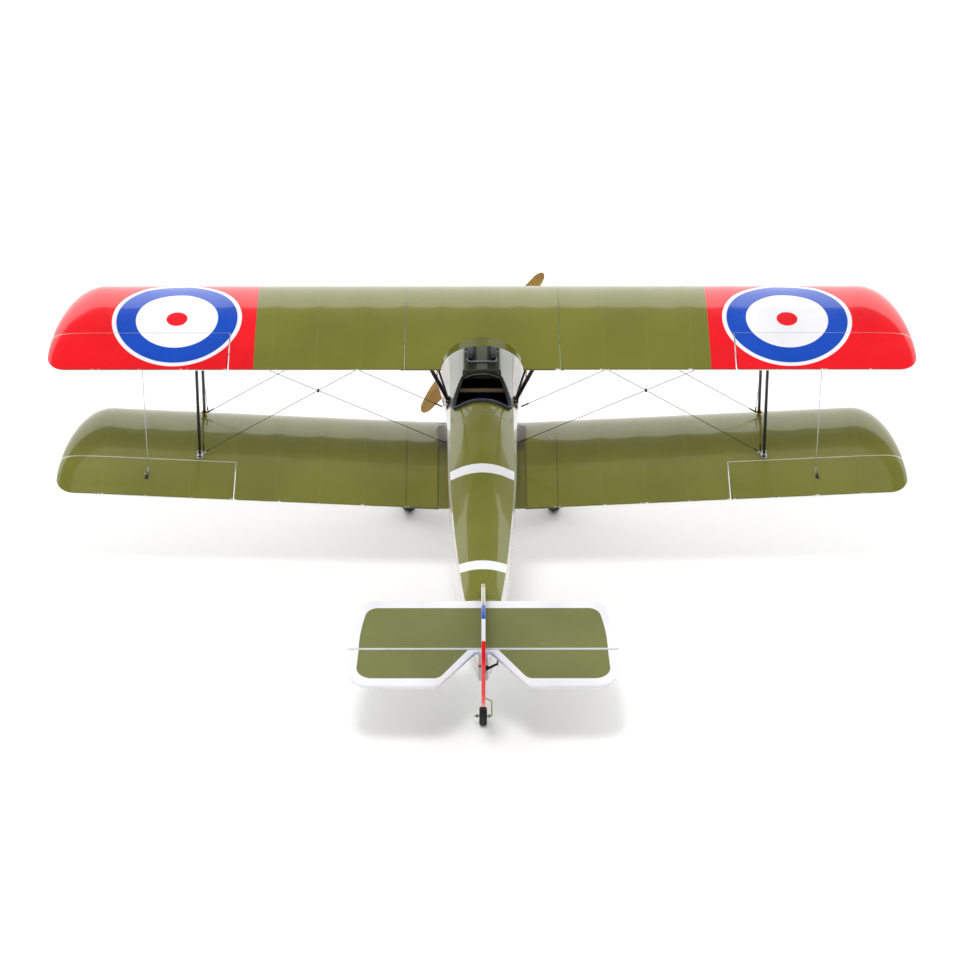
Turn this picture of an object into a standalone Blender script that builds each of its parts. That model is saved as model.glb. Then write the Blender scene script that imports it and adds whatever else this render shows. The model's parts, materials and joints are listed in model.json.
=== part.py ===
"""Quarter-scale radio-controlled biplane, modelled level and then parked on its three wheels.

Aircraft frame: +Y is the nose, +X the right wing, +Z up, with the propeller hub at the
origin. Everything hangs from the empty "stance", which pitches the nose up to the parked
attitude and puts the wheels on z = 0.
"""
import math

import bmesh
import bpy
from mathutils import Matrix, Vector

GAP = 0.0005                     # clearance between neighbouring pieces

# wings
CHORD = 0.343
HALF_SPAN = 1.065
TIP_START = 0.946                # where the leading edge starts to rake back
TIP_TRAILING_START = 1.018       # where the trailing edge starts to round off
TIP_POINT = 0.84                 # chord fraction of the outermost point of the tip
THICKNESS = 0.12
CAMBER = 0.028
UPPER_LE_Y = -0.1374
UPPER_Z = 0.2826
STAGGER = 0.078
LOWER_Z = -0.1013                # lower chord plane, extended to the centre line
DIHEDRAL = math.radians(3.34)
CENTRE_HALF = 0.190              # half width of the upper centre section
CUTOUT_HALF = 0.100
CUTOUT_DEPTH = 0.105
LOWER_ROOT_X = 0.1090
HINGE = 0.65                     # aileron hinge, as a fraction of the chord
HINGE_DROP = 0.0008              # hinge axis under the upper skin
AILERON_INBOARD = 0.620
BEVEL = math.radians(29.0)
STRUT_X = 0.710
FRONT_SPAR = 0.10
REAR_SPAR = 0.60

# tail
TAIL_LE_Y = -1.097
TAIL_HINGE_Y = -1.2620
TAIL_BOTTOM_Z = 0.0712
TAIL_THICKNESS = 0.0093
TAIL_MID_Z = TAIL_BOTTOM_Z + TAIL_THICKNESS / 2
ELEVATOR_TE_Y = -1.385
TAIL_TIP_X = 0.311
RUDDER_CHORD = 0.151
RUDDER_TOP_Z = 0.220
RUDDER_BOTTOM_Z = -0.0245
FIN_THICKNESS = 0.009

# fuselage
FIREWALL_Y = -0.130
NOSE_RADIUS = 0.115
WALL = 0.005
HATCH_FRONT_Y = -0.152
HATCH_REAR_Y = -0.4290
HATCH_HALF = 0.0785
HATCH_Z = 0.050                  # parting plane under the hatch
BAY_HALF = 0.072
BAY_FLOOR_Z = -0.084
LEDGE_Z = 0.040                  # underside of the ledge the hatch rests on
HUMP_HALF = 0.0495
HUMP_FOOT_Z = 0.066              # the hump starts inside the hatch skin

# undercarriage
WHEEL_Y = -0.190
WHEEL_Z = -0.300
WHEEL_X = 0.190
WHEEL_RADIUS = 0.0875
TYRE_WIDTH = 0.032
RIM_RADIUS = 0.0700
AXLE_RADIUS = 0.0045
TAILWHEEL_Y = -1.300
TAILWHEEL_Z = -0.0955
TAILWHEEL_RADIUS = 0.0225

# propulsion
PROP_RADIUS = 0.277
PROP_PITCH = 0.254
PROP_PARKED = math.radians(35.4)

STANCE_SHIFT_Y = 0.6716          # puts the origin under the middle of the parked model


def clear_scene():
    for item in list(bpy.data.objects):
        bpy.data.objects.remove(item, do_unlink=True)


def parked_attitude():
    """Pitch angle and lift that put both main wheels and the tailwheel on the ground."""
    run = WHEEL_Y - TAILWHEEL_Y
    rise = TAILWHEEL_Z - WHEEL_Z
    pitch = math.atan2(rise, run) + math.asin((WHEEL_RADIUS - TAILWHEEL_RADIUS) / math.hypot(run, rise))
    axle_height = WHEEL_Y * math.sin(pitch) + WHEEL_Z * math.cos(pitch)
    return pitch, WHEEL_RADIUS - axle_height


def make_stance():
    pitch, lift = parked_attitude()
    empty = bpy.data.objects.new("stance", None)
    bpy.context.scene.collection.objects.link(empty)
    empty.location = (0.0, STANCE_SHIFT_Y, lift)
    empty.rotation_euler = (pitch, 0.0, 0.0)
    return empty


def make_material(name, colour, roughness, metallic=0.0):
    material = bpy.data.materials.new(name)
    material.use_nodes = True
    shader = material.node_tree.nodes["Principled BSDF"]
    shader.inputs["Base Color"].default_value = (*colour, 1.0)
    shader.inputs["Roughness"].default_value = roughness
    shader.inputs["Metallic"].default_value = metallic
    return material


clear_scene()
STANCE = make_stance()
OLIVE = make_material("olive_film", (0.22, 0.23, 0.06), 0.25)
CREAM = make_material("cream_film", (0.80, 0.78, 0.70), 0.30)
RED = make_material("red_film", (0.78, 0.01, 0.02), 0.25)
DARK_GREEN = make_material("dark_green_paint", (0.08, 0.10, 0.05), 0.45)
BLACK_METAL = make_material("black_painted_metal", (0.01, 0.01, 0.012), 0.35, 0.4)
STEEL = make_material("steel_wire", (0.55, 0.56, 0.58), 0.30, 1.0)
BRASS = make_material("brass", (0.78, 0.56, 0.22), 0.30, 1.0)
ALUMINIUM = make_material("aluminium", (0.75, 0.76, 0.78), 0.35, 1.0)
RUBBER = make_material("rubber", (0.02, 0.02, 0.02), 0.80)
WOOD = make_material("varnished_wood", (0.62, 0.36, 0.14), 0.35)
PLY = make_material("plywood", (0.66, 0.48, 0.28), 0.60)
PLASTIC = make_material("black_plastic", (0.02, 0.02, 0.02), 0.50)
BLUE_WRAP = make_material("blue_wrap", (0.05, 0.12, 0.45), 0.45)


# ---------------------------------------------------------------- mesh helpers

def finish_object(name, bm, material, pivot=(0, 0, 0), matrix=None, smooth=False):
    """Turn a bmesh in the aircraft frame into an object whose origin is the pivot."""
    if matrix is not None:
        bmesh.ops.transform(bm, matrix=matrix, verts=bm.verts)
        pivot = matrix @ Vector(pivot)
    bmesh.ops.triangulate(bm, faces=bm.faces)
    bmesh.ops.recalc_face_normals(bm, faces=bm.faces)
    if bm.calc_volume(signed=True) < 0:
        bmesh.ops.reverse_faces(bm, faces=bm.faces)
    bmesh.ops.translate(bm, vec=-Vector(pivot), verts=bm.verts)
    mesh = bpy.data.meshes.new(name)
    bm.to_mesh(mesh)
    bm.free()
    if smooth:
        mesh.shade_smooth()
        mesh.set_sharp_from_angle(angle=math.radians(35))
    mesh.materials.append(material)
    made = bpy.data.objects.new(name, mesh)
    made.parent = STANCE
    made.location = pivot
    bpy.context.scene.collection.objects.link(made)
    return made


def ladder_cap(bm, ring):
    """Close a ring with rungs from each point to its partner on the other side."""
    first, last = 0, len(ring) - 1
    while last - first > 2:
        bm.faces.new((ring[first], ring[first + 1], ring[last - 1], ring[last]))
        first += 1
        last -= 1
    if last - first == 2:
        bm.faces.new(ring[first:last + 1])


def loft(rings, ladder=False):
    """Closed skin through rings that all have the same number of points."""
    bm = bmesh.new()
    levels = [[bm.verts.new(point) for point in ring] for ring in rings]
    count = len(levels[0])
    for lower, upper in zip(levels, levels[1:]):
        for k in range(count):
            n = (k + 1) % count
            bm.faces.new((lower[k], lower[n], upper[n], upper[k]))
    for end in (levels[0], levels[-1]):
        if ladder:
            ladder_cap(bm, end)
        else:
            bm.faces.new(end)
    return bm


def box(low, high):
    x0, y0, z0 = low
    x1, y1, z1 = high
    return loft([[(x0, y0, z), (x1, y0, z), (x1, y1, z), (x0, y1, z)] for z in (z0, z1)])


def extrude_yz(outline, x0, x1):
    return loft([[(x, y, z) for y, z in outline] for x in (x0, x1)])


def extrude_xy(outline, z0, z1):
    return loft([[(x, y, z) for x, y in outline] for z in (z0, z1)])


def circle(centre, u, v, radius, count):
    """Points of a circle about a centre, in the plane of the unit vectors u and v."""
    points = []
    for k in range(count):
        a = 2 * math.pi * k / count
        points.append(Vector(centre) + radius * (math.cos(a) * Vector(u) + math.sin(a) * Vector(v)))
    return points


def cross_axes(direction):
    direction = Vector(direction).normalized()
    side = direction.cross(Vector((0, 0, 1)))
    if side.length < 0.1:
        side = direction.cross(Vector((0, 1, 0)))
    side.normalize()
    return side, side.cross(direction)


def rod(start, end, radius, count=8):
    u, v = cross_axes(Vector(end) - Vector(start))
    return loft([circle(start, u, v, radius, count), circle(end, u, v, radius, count)])


def bent_wire(path, radius, count=8):
    """A tube along a path in one plane, mitred at its corners."""
    points = [Vector(p) for p in path]
    normal = (points[1] - points[0]).cross(points[-1] - points[0]).normalized()
    rings = []
    for k, point in enumerate(points):
        before = (point - points[max(k - 1, 0)]).normalized()
        after = (points[min(k + 1, len(points) - 1)] - point).normalized()
        tangent = (before + after).normalized()
        side = normal.cross(tangent).normalized()
        turn = before.angle(after) if before.length and after.length else 0.0
        stretch = 1 / math.cos(turn / 2)
        ring = []
        for i in range(count):
            a = 2 * math.pi * i / count
            ring.append(point + radius * (stretch * math.cos(a) * side + math.sin(a) * normal))
        rings.append(ring)
    return loft(rings)


def strut(foot, top, width, depth, count=10):
    """A streamlined strut with level ends: width across the flow, depth along it."""
    rings = []
    for centre in (foot, top):
        ring = []
        for k in range(count):
            a = 2 * math.pi * k / count
            x = centre[0] + 0.5 * width * math.cos(a)
            y = centre[1] + 0.5 * depth * math.sin(a)
            ring.append((x, y, centre[2]))
        rings.append(ring)
    return loft(rings)


def turned(profile, centre, axis, count):
    """Solid of revolution. The profile is a closed list of (distance along axis, radius)."""
    u, v = cross_axes(axis)
    axis = Vector(axis).normalized()
    bm = bmesh.new()
    columns = []
    for along, radius in profile:
        middle = Vector(centre) + along * axis
        if radius == 0:
            columns.append([bm.verts.new(middle)] * count)
        else:
            columns.append([bm.verts.new(p) for p in circle(middle, u, v, radius, count)])
    for here, there in zip(columns, columns[1:] + columns[:1]):
        for k in range(count):
            n = (k + 1) % count
            corners = []
            for vert in (here[k], here[n], there[n], there[k]):
                if vert not in corners:
                    corners.append(vert)
            if len(corners) > 2:
                bm.faces.new(corners)
    return bm


def arm_plate(axis_point, pin_point, across, thickness, root_radius, tip_radius):
    """Flat tapered arm with round ends, from a hinge axis to a pin, lying across an axis."""
    axis_point = Vector(axis_point)
    pin_point = Vector(pin_point)
    across = Vector(across).normalized()
    along = (pin_point - axis_point).normalized()
    side = across.cross(along)
    outline = []
    for k in range(7):
        a = math.pi * (0.5 + k / 6)
        outline.append(axis_point + root_radius * (math.cos(a) * along + math.sin(a) * side))
    for k in range(7):
        a = math.pi * (-0.5 + k / 6)
        outline.append(pin_point + tip_radius * (math.cos(a) * along + math.sin(a) * side))
    half = 0.5 * thickness * across
    return loft([[p - half for p in outline], [p + half for p in outline]])


def helper(name, bm, matrix=None):
    """A Boolean operand: hidden in renders and drawn as wire."""
    made = finish_object(name, bm, PLASTIC, matrix=matrix)
    made.hide_render = True
    made.display_type = 'WIRE'
    return made


def combine(target, operation, bm, label, matrix=None, solver='EXACT'):
    operand = helper(target.name + "_" + label, bm, matrix)
    modifier = target.modifiers.new(label, 'BOOLEAN')
    modifier.operation = operation
    modifier.object = operand
    modifier.solver = solver


def cut(target, bm, label, matrix=None):
    combine(target, 'DIFFERENCE', bm, label, matrix)


def add(target, bm, label, matrix=None, solver='EXACT'):
    combine(target, 'UNION', bm, label, matrix, solver)


def keep_inside(target, bm, label, matrix=None):
    combine(target, 'INTERSECT', bm, label, matrix)


def side_name(side):
    return "right" if side > 0 else "left"


# ---------------------------------------------------------------- wings

def half_thickness(t):
    """Symmetrical thickness law, as a fraction of the chord."""
    return 5 * THICKNESS * (0.2969 * math.sqrt(t) - 0.1260 * t - 0.3516 * t ** 2
                            + 0.2843 * t ** 3 - 0.1015 * t ** 4) + 0.0025 * t


def camber(t):
    return 4 * CAMBER * t * (1 - t)


def surface_z(t, upper=True):
    """Height of the skin over the chord plane at chord fraction t."""
    sign = 1 if upper else -1
    return CHORD * (camber(t) + sign * half_thickness(t))


def airfoil_ring(x, lead, trail, le_y, plane_z, steps=8):
    """Section between two chord fractions, as points from the trailing edge round the nose."""
    scale = (trail - lead) * CHORD
    ring = []
    for sign, order in ((1, range(steps, -1, -1)), (-1, range(1, steps + 1))):
        for i in order:
            t = 0.5 * (1 - math.cos(math.pi * i / steps))
            y = le_y - (lead + t * (trail - lead)) * CHORD
            ring.append((x, y, plane_z + scale * (camber(t) + sign * half_thickness(t))))
    return ring


def tip_lead(x):
    u = max(0.0, (x - TIP_START) / (HALF_SPAN - TIP_START))
    return TIP_POINT * (1 - math.sqrt(max(0.0, 1 - u * u)))


def tip_trail(x):
    u = max(0.0, (x - TIP_TRAILING_START) / (HALF_SPAN - TIP_TRAILING_START))
    return 1 - (1 - TIP_POINT) * (1 - math.sqrt(max(0.0, 1 - u * u)))


def wing_blank(side, inboard, le_y, plane_z):
    """A whole wing half with its raked tip, before the aileron is cut off it."""
    stations = [inboard]
    for u in (0.0, 0.35, 0.60, 0.78, 0.90, 0.97, 0.997):
        stations.append(TIP_START + u * (HALF_SPAN - TIP_START))
    return loft([airfoil_ring(side * x, tip_lead(x), tip_trail(x), le_y, plane_z) for x in stations], True)


def lower_matrix(side):
    """Swings a level wing half, built at the lower position, up by the dihedral."""
    pivot = Matrix.Translation((0, 0, LOWER_Z))
    return pivot @ Matrix.Rotation(-side * DIHEDRAL, 4, 'Y') @ pivot.inverted()


def hinge_point(side, x, le_y, plane_z):
    return Vector((side * x, le_y - HINGE * CHORD, plane_z + surface_z(HINGE) - HINGE_DROP))


HORN_PIN = Vector((0.0, -0.004, -0.034))      # aileron drive horn, from the hinge axis
LINK_PIN_LOWER = Vector((0.0, -0.058, -0.0030))  # interplane link, from the lower hinge axis
LINK_PIN_UPPER = Vector((0.0, -0.058, -0.0290))
LINK_X = 0.836
AILERON_SERVO_X = 0.720
AILERON_ARM_Y = UPPER_LE_Y - STAGGER - 0.42 * CHORD


def span_box(side, x0, x1):
    return (side * x0, side * x1) if side > 0 else (side * x1, side * x0)


def aileron_bay(side, le_y, plane_z):
    front = le_y - HINGE * CHORD + GAP
    back = le_y - CHORD - 0.03
    x0, x1 = span_box(side, AILERON_INBOARD - 0.0008, HALF_SPAN + 0.02)
    return box((x0, back, plane_z - 0.06), (x1, front, plane_z + 0.08))


def aileron_envelope(side, le_y, plane_z):
    """Prism that keeps the aileron, with its front face sloped to let it droop."""
    hinge_y = le_y - HINGE * CHORD - GAP
    hinge_z = plane_z + surface_z(HINGE) - HINGE_DROP
    foot_z = plane_z - 0.06
    outline = [(hinge_y, plane_z + 0.08), (hinge_y, hinge_z)]
    outline.append((hinge_y - math.tan(BEVEL) * (hinge_z - foot_z), foot_z))
    outline.append((le_y - CHORD - 0.03, foot_z))
    outline.append((le_y - CHORD - 0.03, plane_z + 0.08))
    x0, x1 = span_box(side, AILERON_INBOARD + 0.0008, HALF_SPAN + 0.02)
    return extrude_yz(outline, x0, x1)


def horn_plate(root, pin, x, spread=0.012, thickness=0.002):
    """Triangular horn from a root line on the surface to its pin, in a plane across X."""
    outline = [(root.y + spread, root.z), (pin.y + 0.0028, pin.z)]
    outline.append((pin.y, pin.z - 0.0028 * sign_to(root, pin)))
    outline.append((pin.y - 0.0028, pin.z))
    outline.append((root.y - spread, root.z))
    return extrude_yz(outline, x - thickness / 2, x + thickness / 2)


def sign_to(root, pin):
    return 1.0 if root.z > pin.z else -1.0


def make_aileron(side, level):
    upper = level == "upper"
    le_y = UPPER_LE_Y if upper else UPPER_LE_Y - STAGGER
    plane_z = UPPER_Z if upper else LOWER_Z
    matrix = None if upper else lower_matrix(side)
    pivot = hinge_point(side, 0.84, le_y, plane_z)
    aileron = finish_object("aileron_%s_%s" % (level, side_name(side)),
                            wing_blank(side, CENTRE_HALF, le_y, plane_z), RED, pivot, matrix)
    keep_inside(aileron, aileron_envelope(side, le_y, plane_z), "envelope", matrix)
    link = hinge_point(side, LINK_X, le_y, plane_z) + (LINK_PIN_UPPER if upper else LINK_PIN_LOWER)
    skin = HINGE + 0.058 / CHORD
    root_z = surface_z(skin, False) + 0.002 if upper else surface_z(skin) - 0.002
    root = Vector((0, link.y, plane_z + root_z))
    add(aileron, horn_plate(root, link, side * (LINK_X + 0.0045), 0.010), "link_horn", matrix, 'MANIFOLD')
    if not upper:
        pin = hinge_point(side, AILERON_SERVO_X, le_y, plane_z) + HORN_PIN
        base = Vector((0, pin.y - 0.025, plane_z + surface_z(0.72, False) + 0.004))
        add(aileron, horn_plate(base, pin, side * (AILERON_SERVO_X + 0.0062), 0.010), "drive_horn", matrix)


def make_upper_wing():
    blank = loft([airfoil_ring(x, 0, 1, UPPER_LE_Y, UPPER_Z) for x in (-CENTRE_HALF, CENTRE_HALF)], True)
    centre = finish_object("upper_wing_centre", blank, OLIVE)
    trailing = UPPER_LE_Y - CHORD - 0.002
    arch = [(CUTOUT_HALF, trailing - 0.02)]
    for k in range(17):
        a = math.pi * k / 16
        arch.append((CUTOUT_HALF * math.cos(a), trailing + (CUTOUT_DEPTH + 0.002) * math.sin(a)))
    arch.append((-CUTOUT_HALF, trailing - 0.02))
    cut(centre, extrude_xy(arch, UPPER_Z - 0.05, UPPER_Z + 0.08), "cutout")
    for side in (-1, 1):
        panel = finish_object("upper_wing_" + side_name(side),
                              wing_blank(side, CENTRE_HALF + GAP, UPPER_LE_Y, UPPER_Z), OLIVE)
        cut(panel, aileron_bay(side, UPPER_LE_Y, UPPER_Z), "aileron_bay")
        make_aileron(side, "upper")


def make_lower_wing():
    le_y = UPPER_LE_Y - STAGGER
    for side in (-1, 1):
        matrix = lower_matrix(side)
        panel = finish_object("lower_wing_" + side_name(side),
                              wing_blank(side, LOWER_ROOT_X, le_y, LOWER_Z), OLIVE, matrix=matrix)
        cut(panel, aileron_bay(side, le_y, LOWER_Z), "aileron_bay", matrix)
        x0, x1 = span_box(side, AILERON_SERVO_X - 0.034, AILERON_SERVO_X + 0.008)
        rear, front = AILERON_ARM_Y - 0.022, AILERON_ARM_Y + 0.020
        pocket = box((x0, rear, LOWER_Z - 0.04), (x1, front, LOWER_Z + 0.021))
        cut(panel, pocket, "servo_pocket", matrix)
        make_aileron(side, "lower")
        make_aileron_drive(side, matrix, le_y)


def make_aileron_drive(side, matrix, le_y):
    """Servo in the lower wing with its arm, the pushrod to the horn, and the wing-to-wing link."""
    name = side_name(side)
    pin_z = hinge_point(side, 0, le_y, LOWER_Z).z + HORN_PIN.z
    arm_axis = Vector((side * AILERON_SERVO_X, AILERON_ARM_Y, LOWER_Z + 0.009))
    arm_pin = arm_axis + HORN_PIN
    horn_pin = Vector((side * AILERON_SERVO_X, le_y - HINGE * CHORD + HORN_PIN.y, pin_z))
    x0, x1 = span_box(side, AILERON_SERVO_X - 0.032, AILERON_SERVO_X - 0.004)
    case = box((x0, AILERON_ARM_Y - 0.018, LOWER_Z - 0.003), (x1, AILERON_ARM_Y + 0.018, LOWER_Z + 0.019))
    finish_object("aileron_servo_" + name, case, PLASTIC, matrix=matrix)
    arm = arm_plate(arm_axis, arm_pin, (1, 0, 0), 0.0022, 0.0055, 0.0030)
    finish_object("aileron_servo_arm_" + name, arm, PLASTIC, arm_axis, matrix)
    aside = Vector((side * 0.0032, 0, 0))
    finish_object("aileron_pushrod_" + name, rod(arm_pin + aside, horn_pin + aside, 0.0015),
                  STEEL, arm_pin, matrix)
    low = matrix @ (hinge_point(side, LINK_X, le_y, LOWER_Z) + LINK_PIN_LOWER)
    high = hinge_point(side, LINK_X, UPPER_LE_Y, UPPER_Z) + LINK_PIN_UPPER
    finish_object("aileron_link_" + name, rod(low, high, 0.0013), STEEL, low)


# ---------------------------------------------------------------- struts and wires

def upper_skin(fraction, clearance):
    """Point under the upper wing at a spar, as (y, z)."""
    return UPPER_LE_Y - fraction * CHORD, UPPER_Z + surface_z(fraction, False) - clearance


def lower_skin(x, fraction, clearance):
    """Point on top of the lower wing at a spar, as (y, z)."""
    return (UPPER_LE_Y - STAGGER - fraction * CHORD,
            LOWER_Z + abs(x) * math.tan(DIHEDRAL) + surface_z(fraction) / math.cos(DIHEDRAL) + clearance)


def make_interplane(side):
    for name, fraction, clearance in (("front", FRONT_SPAR, 0.0030), ("rear", REAR_SPAR, 0.0016)):
        top = upper_skin(fraction, 0.0016)
        foot = lower_skin(STRUT_X, fraction, clearance)
        body = strut((side * STRUT_X, *foot), (side * STRUT_X, *top), 0.0075, 0.017)
        finish_object("interplane_strut_%s_%s" % (name, side_name(side)), body, BLACK_METAL)


CABANE_FOOT = Vector((0.0858, -0.329, 0.0725))
CABANE_TOP_X = 0.168


def make_cabane(side):
    """Inverted tripod side: both struts rise from one foot beside the cockpit."""
    foot = Vector((side * CABANE_FOOT.x, CABANE_FOOT.y, CABANE_FOOT.z))
    rear_top = Vector((side * CABANE_TOP_X, *upper_skin(REAR_SPAR, 0.0016)))
    front_top = Vector((side * CABANE_TOP_X, *upper_skin(FRONT_SPAR, 0.0022)))
    cabane = finish_object("cabane_" + side_name(side), strut(foot, rear_top, 0.0105, 0.0135), BLACK_METAL)
    add(cabane, strut(foot + Vector((0, 0.004, 0.001)), front_top, 0.0055, 0.009), "front_leg")
    x0, x1 = span_box(side, CABANE_FOOT.x - 0.0055, CABANE_FOOT.x + 0.0065)
    add(cabane, box((x0, foot.y - 0.011, foot.z - 0.004), (x1, foot.y + 0.013, foot.z + 0.002)), "foot_plate")


def make_bracing(side):
    """Flying and landing wire of one spar, held together by an acorn where they cross."""
    for name, fraction, root in (("front", FRONT_SPAR, 0.1012), ("rear", REAR_SPAR, 0.0925)):
        top_y, top_z = upper_skin(fraction, 0.008)
        foot_y, foot_z = lower_skin(STRUT_X, fraction, 0.008)
        slope = (top_y - foot_y) / (top_z - foot_z)
        root_z = -0.016 if name == "front" else 0.002
        outer = STRUT_X - 0.0060
        flying = [(side * root, top_y + slope * (root_z - top_z), root_z), (side * outer, top_y, top_z)]
        landing = [(side * (CABANE_TOP_X + 0.012), top_y, top_z), (side * outer, foot_y, foot_z)]
        wires = finish_object("bracing_%s_%s" % (name, side_name(side)), rod(*flying, 0.0010, 6), STEEL)
        add(wires, rod(*landing, 0.0010, 6), "landing_wire")
        add(wires, crossing_acorn(flying, landing), "acorn")


def crossing_acorn(first, second):
    """Small turned bead on the crossing point of two lines that lie in one plane."""
    a, b = (Vector(p) for p in first)
    c, d = (Vector(p) for p in second)
    run = (b.x - a.x) * (d.z - c.z) - (b.z - a.z) * (d.x - c.x)
    t = ((c.x - a.x) * (d.z - c.z) - (c.z - a.z) * (d.x - c.x)) / run
    centre = a + t * (b - a)
    profile = [(-0.010, 0.0), (-0.006, 0.0034), (0.0, 0.0046), (0.006, 0.0034), (0.010, 0.0)]
    return turned(profile, centre, (0, 1, 0), 8)


# ---------------------------------------------------------------- fuselage

# y, side half width, deck half width, shoulder z, deck edge z, deck crown z
STATIONS = (
    (-0.270, 0.0960, 0.0785, 0.040, 0.068, 0.107),
    (-0.340, 0.0908, 0.0789, 0.042, 0.070, 0.108),
    (-0.430, 0.0872, 0.0790, 0.045, 0.072, 0.108),
    (-0.620, 0.0838, 0.0785, 0.052, 0.073, 0.1005),
    (-0.800, 0.0730, 0.0700, 0.058, 0.074, 0.0940),
    (-0.980, 0.0585, 0.0550, 0.064, 0.075, 0.0875),
    (-1.090, 0.0460, 0.0425, 0.068, 0.0765, 0.0835),
    (-1.180, 0.0330, 0.0300, 0.071, 0.0765, 0.0800),
    (-1.2615, 0.0110, 0.0100, 0.073, 0.0765, 0.0780),
)
BELLY_Z = -0.116
BELLY_RISE = 0.1155              # belly slope behind the hatch, metres per metre
BELLY_INSET = 0.014
LEAN = 0.97                      # width at the belly over width at the shoulder


def belly_z(y):
    return BELLY_Z + max(0.0, STATIONS[2][0] - y) * BELLY_RISE


def half_outline(row):
    """Right half of a cross-section, from the crown down to the belly, as (x, z)."""
    y, wide, deck, shoulder, edge, crown = row
    bottom = belly_z(y)
    points = []
    for k in range(4):
        share = k / 3
        points.append((deck * share, edge + (crown - edge) * (1 - share ** 2)))
    points.append((wide, shoulder))
    points.append((0.99 * wide, 0.6 * bottom))
    points.append((LEAN * wide, bottom + BELLY_INSET * wide / 0.1))
    points.append((LEAN * wide - BELLY_INSET * wide / 0.1, bottom))
    return points


def full_ring(y, points):
    right = [(x, y, z) for x, z in points]
    left = [(-x, y, z) for x, z in reversed(points) if x > 1e-6]
    return right + left


def nose_outline(share):
    """Round section at the firewall, blended into the first flat-sided one as share goes to 1."""
    points = []
    for x, z in half_outline(STATIONS[0]):
        a = math.atan2(x, z)
        points.append(((1 - share) * NOSE_RADIUS * math.sin(a) + share * x,
                       (1 - share) * NOSE_RADIUS * math.cos(a) + share * z))
    return points


def fuselage_rings():
    rings = []
    span = FIREWALL_Y - STATIONS[0][0]
    for share in (0.0, 0.18, 0.4, 0.7):
        blend = share * share * (3 - 2 * share)
        rings.append(full_ring(FIREWALL_Y - share * span, nose_outline(blend)))
    for row in STATIONS:
        rings.append(full_ring(row[0], half_outline(row)))
    return rings


def bay_ring(row):
    """Section of the bay between its thin side walls, from the floor up to the hatch ledge."""
    half = LEAN * row[1] - WALL
    low = BAY_FLOOR_Z
    return [(-half, row[0], low), (half, row[0], low), (half, row[0], LEDGE_Z), (-half, row[0], LEDGE_Z)]


def make_fuselage():
    body = finish_object("fuselage", loft(fuselage_rings(), True), CREAM, smooth=True)
    stub_le = UPPER_LE_Y - STAGGER
    stub_z = LOWER_Z + LOWER_ROOT_X * math.tan(DIHEDRAL)
    stub_x = LOWER_ROOT_X - GAP - 0.0022
    add(body, loft([airfoil_ring(x, 0, 1, stub_le, stub_z) for x in (-stub_x, stub_x)], True), "wing_stub")
    cut(body, loft([bay_ring(row) for row in STATIONS[:3]]), "bay_sides")
    bay = box((-BAY_HALF, HATCH_REAR_Y + 0.005, BAY_FLOOR_Z), (BAY_HALF, HATCH_FRONT_Y - 0.005, 0.2))
    cut(body, bay, "bay")
    lift_slot = box((-HATCH_HALF - GAP, HATCH_REAR_Y - GAP, HATCH_Z - GAP),
                    (HATCH_HALF + GAP, HATCH_FRONT_Y + GAP, 0.2))
    cut(body, lift_slot, "hatch_opening")
    cut(body, box((-0.2, TAILWHEEL_Y, TAIL_BOTTOM_Z - GAP), (0.2, TAIL_LE_Y + GAP, 0.2)), "tail_seat")
    cut(body, box((-0.0700, -1.1630, 0.0260), (-0.0310, -1.1370, 0.0520)), "elevator_arm_hole")
    cut(body, box((-0.0305, -1.1605, 0.0285), (-0.0015, -1.1235, 0.0495)), "elevator_servo_pocket")
    cut(body, box((-0.0400, -1.1555, 0.0335), (-0.0200, -1.1445, 0.0445)), "elevator_shaft_hole")
    cut(body, box((0.0215, -1.0950, 0.0225), (0.0800, -1.0450, 0.0315)), "rudder_arm_slot")
    cut(body, box((0.0175, -1.0905, -0.0125), (0.0385, -1.0515, 0.0260)), "rudder_servo_pocket")
    beam = box((-BAY_HALF - 0.004, -0.2525, 0.034), (BAY_HALF + 0.004, -0.2445, 0.044))
    add(body, beam, "cross_member")


def make_hatch():
    """Lift-off top: rear decking, cockpit sides and the hump that carries the guns."""
    hatch = finish_object("cockpit_hatch", loft(fuselage_rings(), True), OLIVE)
    keep_inside(hatch, box((-HATCH_HALF, HATCH_REAR_Y, HATCH_Z), (HATCH_HALF, HATCH_FRONT_Y, 0.2)), "outline")
    hump = []
    for y, top in ((-0.2630, 0.116), (-0.2300, 0.124), (-0.1950, 0.128), (-0.1560, 0.128)):
        corner = 0.007
        right = [(HUMP_HALF - corner, y, top), (HUMP_HALF, y, top - corner), (HUMP_HALF, y, HUMP_FOOT_Z)]
        hump.append([(-x, y, z) for x, y, z in reversed(right)] + right)
    add(hatch, loft(hump), "hump")
    under = [(-0.4200, 0.092), (-0.3600, 0.094), (-0.2550, 0.098), (-0.1612, 0.098)]
    hollow = []
    for y, crown in under:
        half = BAY_HALF - 0.002
        hollow.append([(-half, y, 0.03), (-half, y, 0.0605), (-0.5 * half, y, crown - 0.008), (0, y, crown),
                       (0.5 * half, y, crown - 0.008), (half, y, 0.0605), (half, y, 0.03)])
    cut(hatch, loft(hollow), "underside")
    cut(hatch, extrude_xy(cockpit_outline(0.0), 0.0, 0.2), "cockpit_opening")


COCKPIT_FRONT_Y = -0.2730
COCKPIT_REAR_Y = -0.3775
COCKPIT_FRONT_HALF = 0.0475
COCKPIT_REAR_HALF = 0.0660


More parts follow.
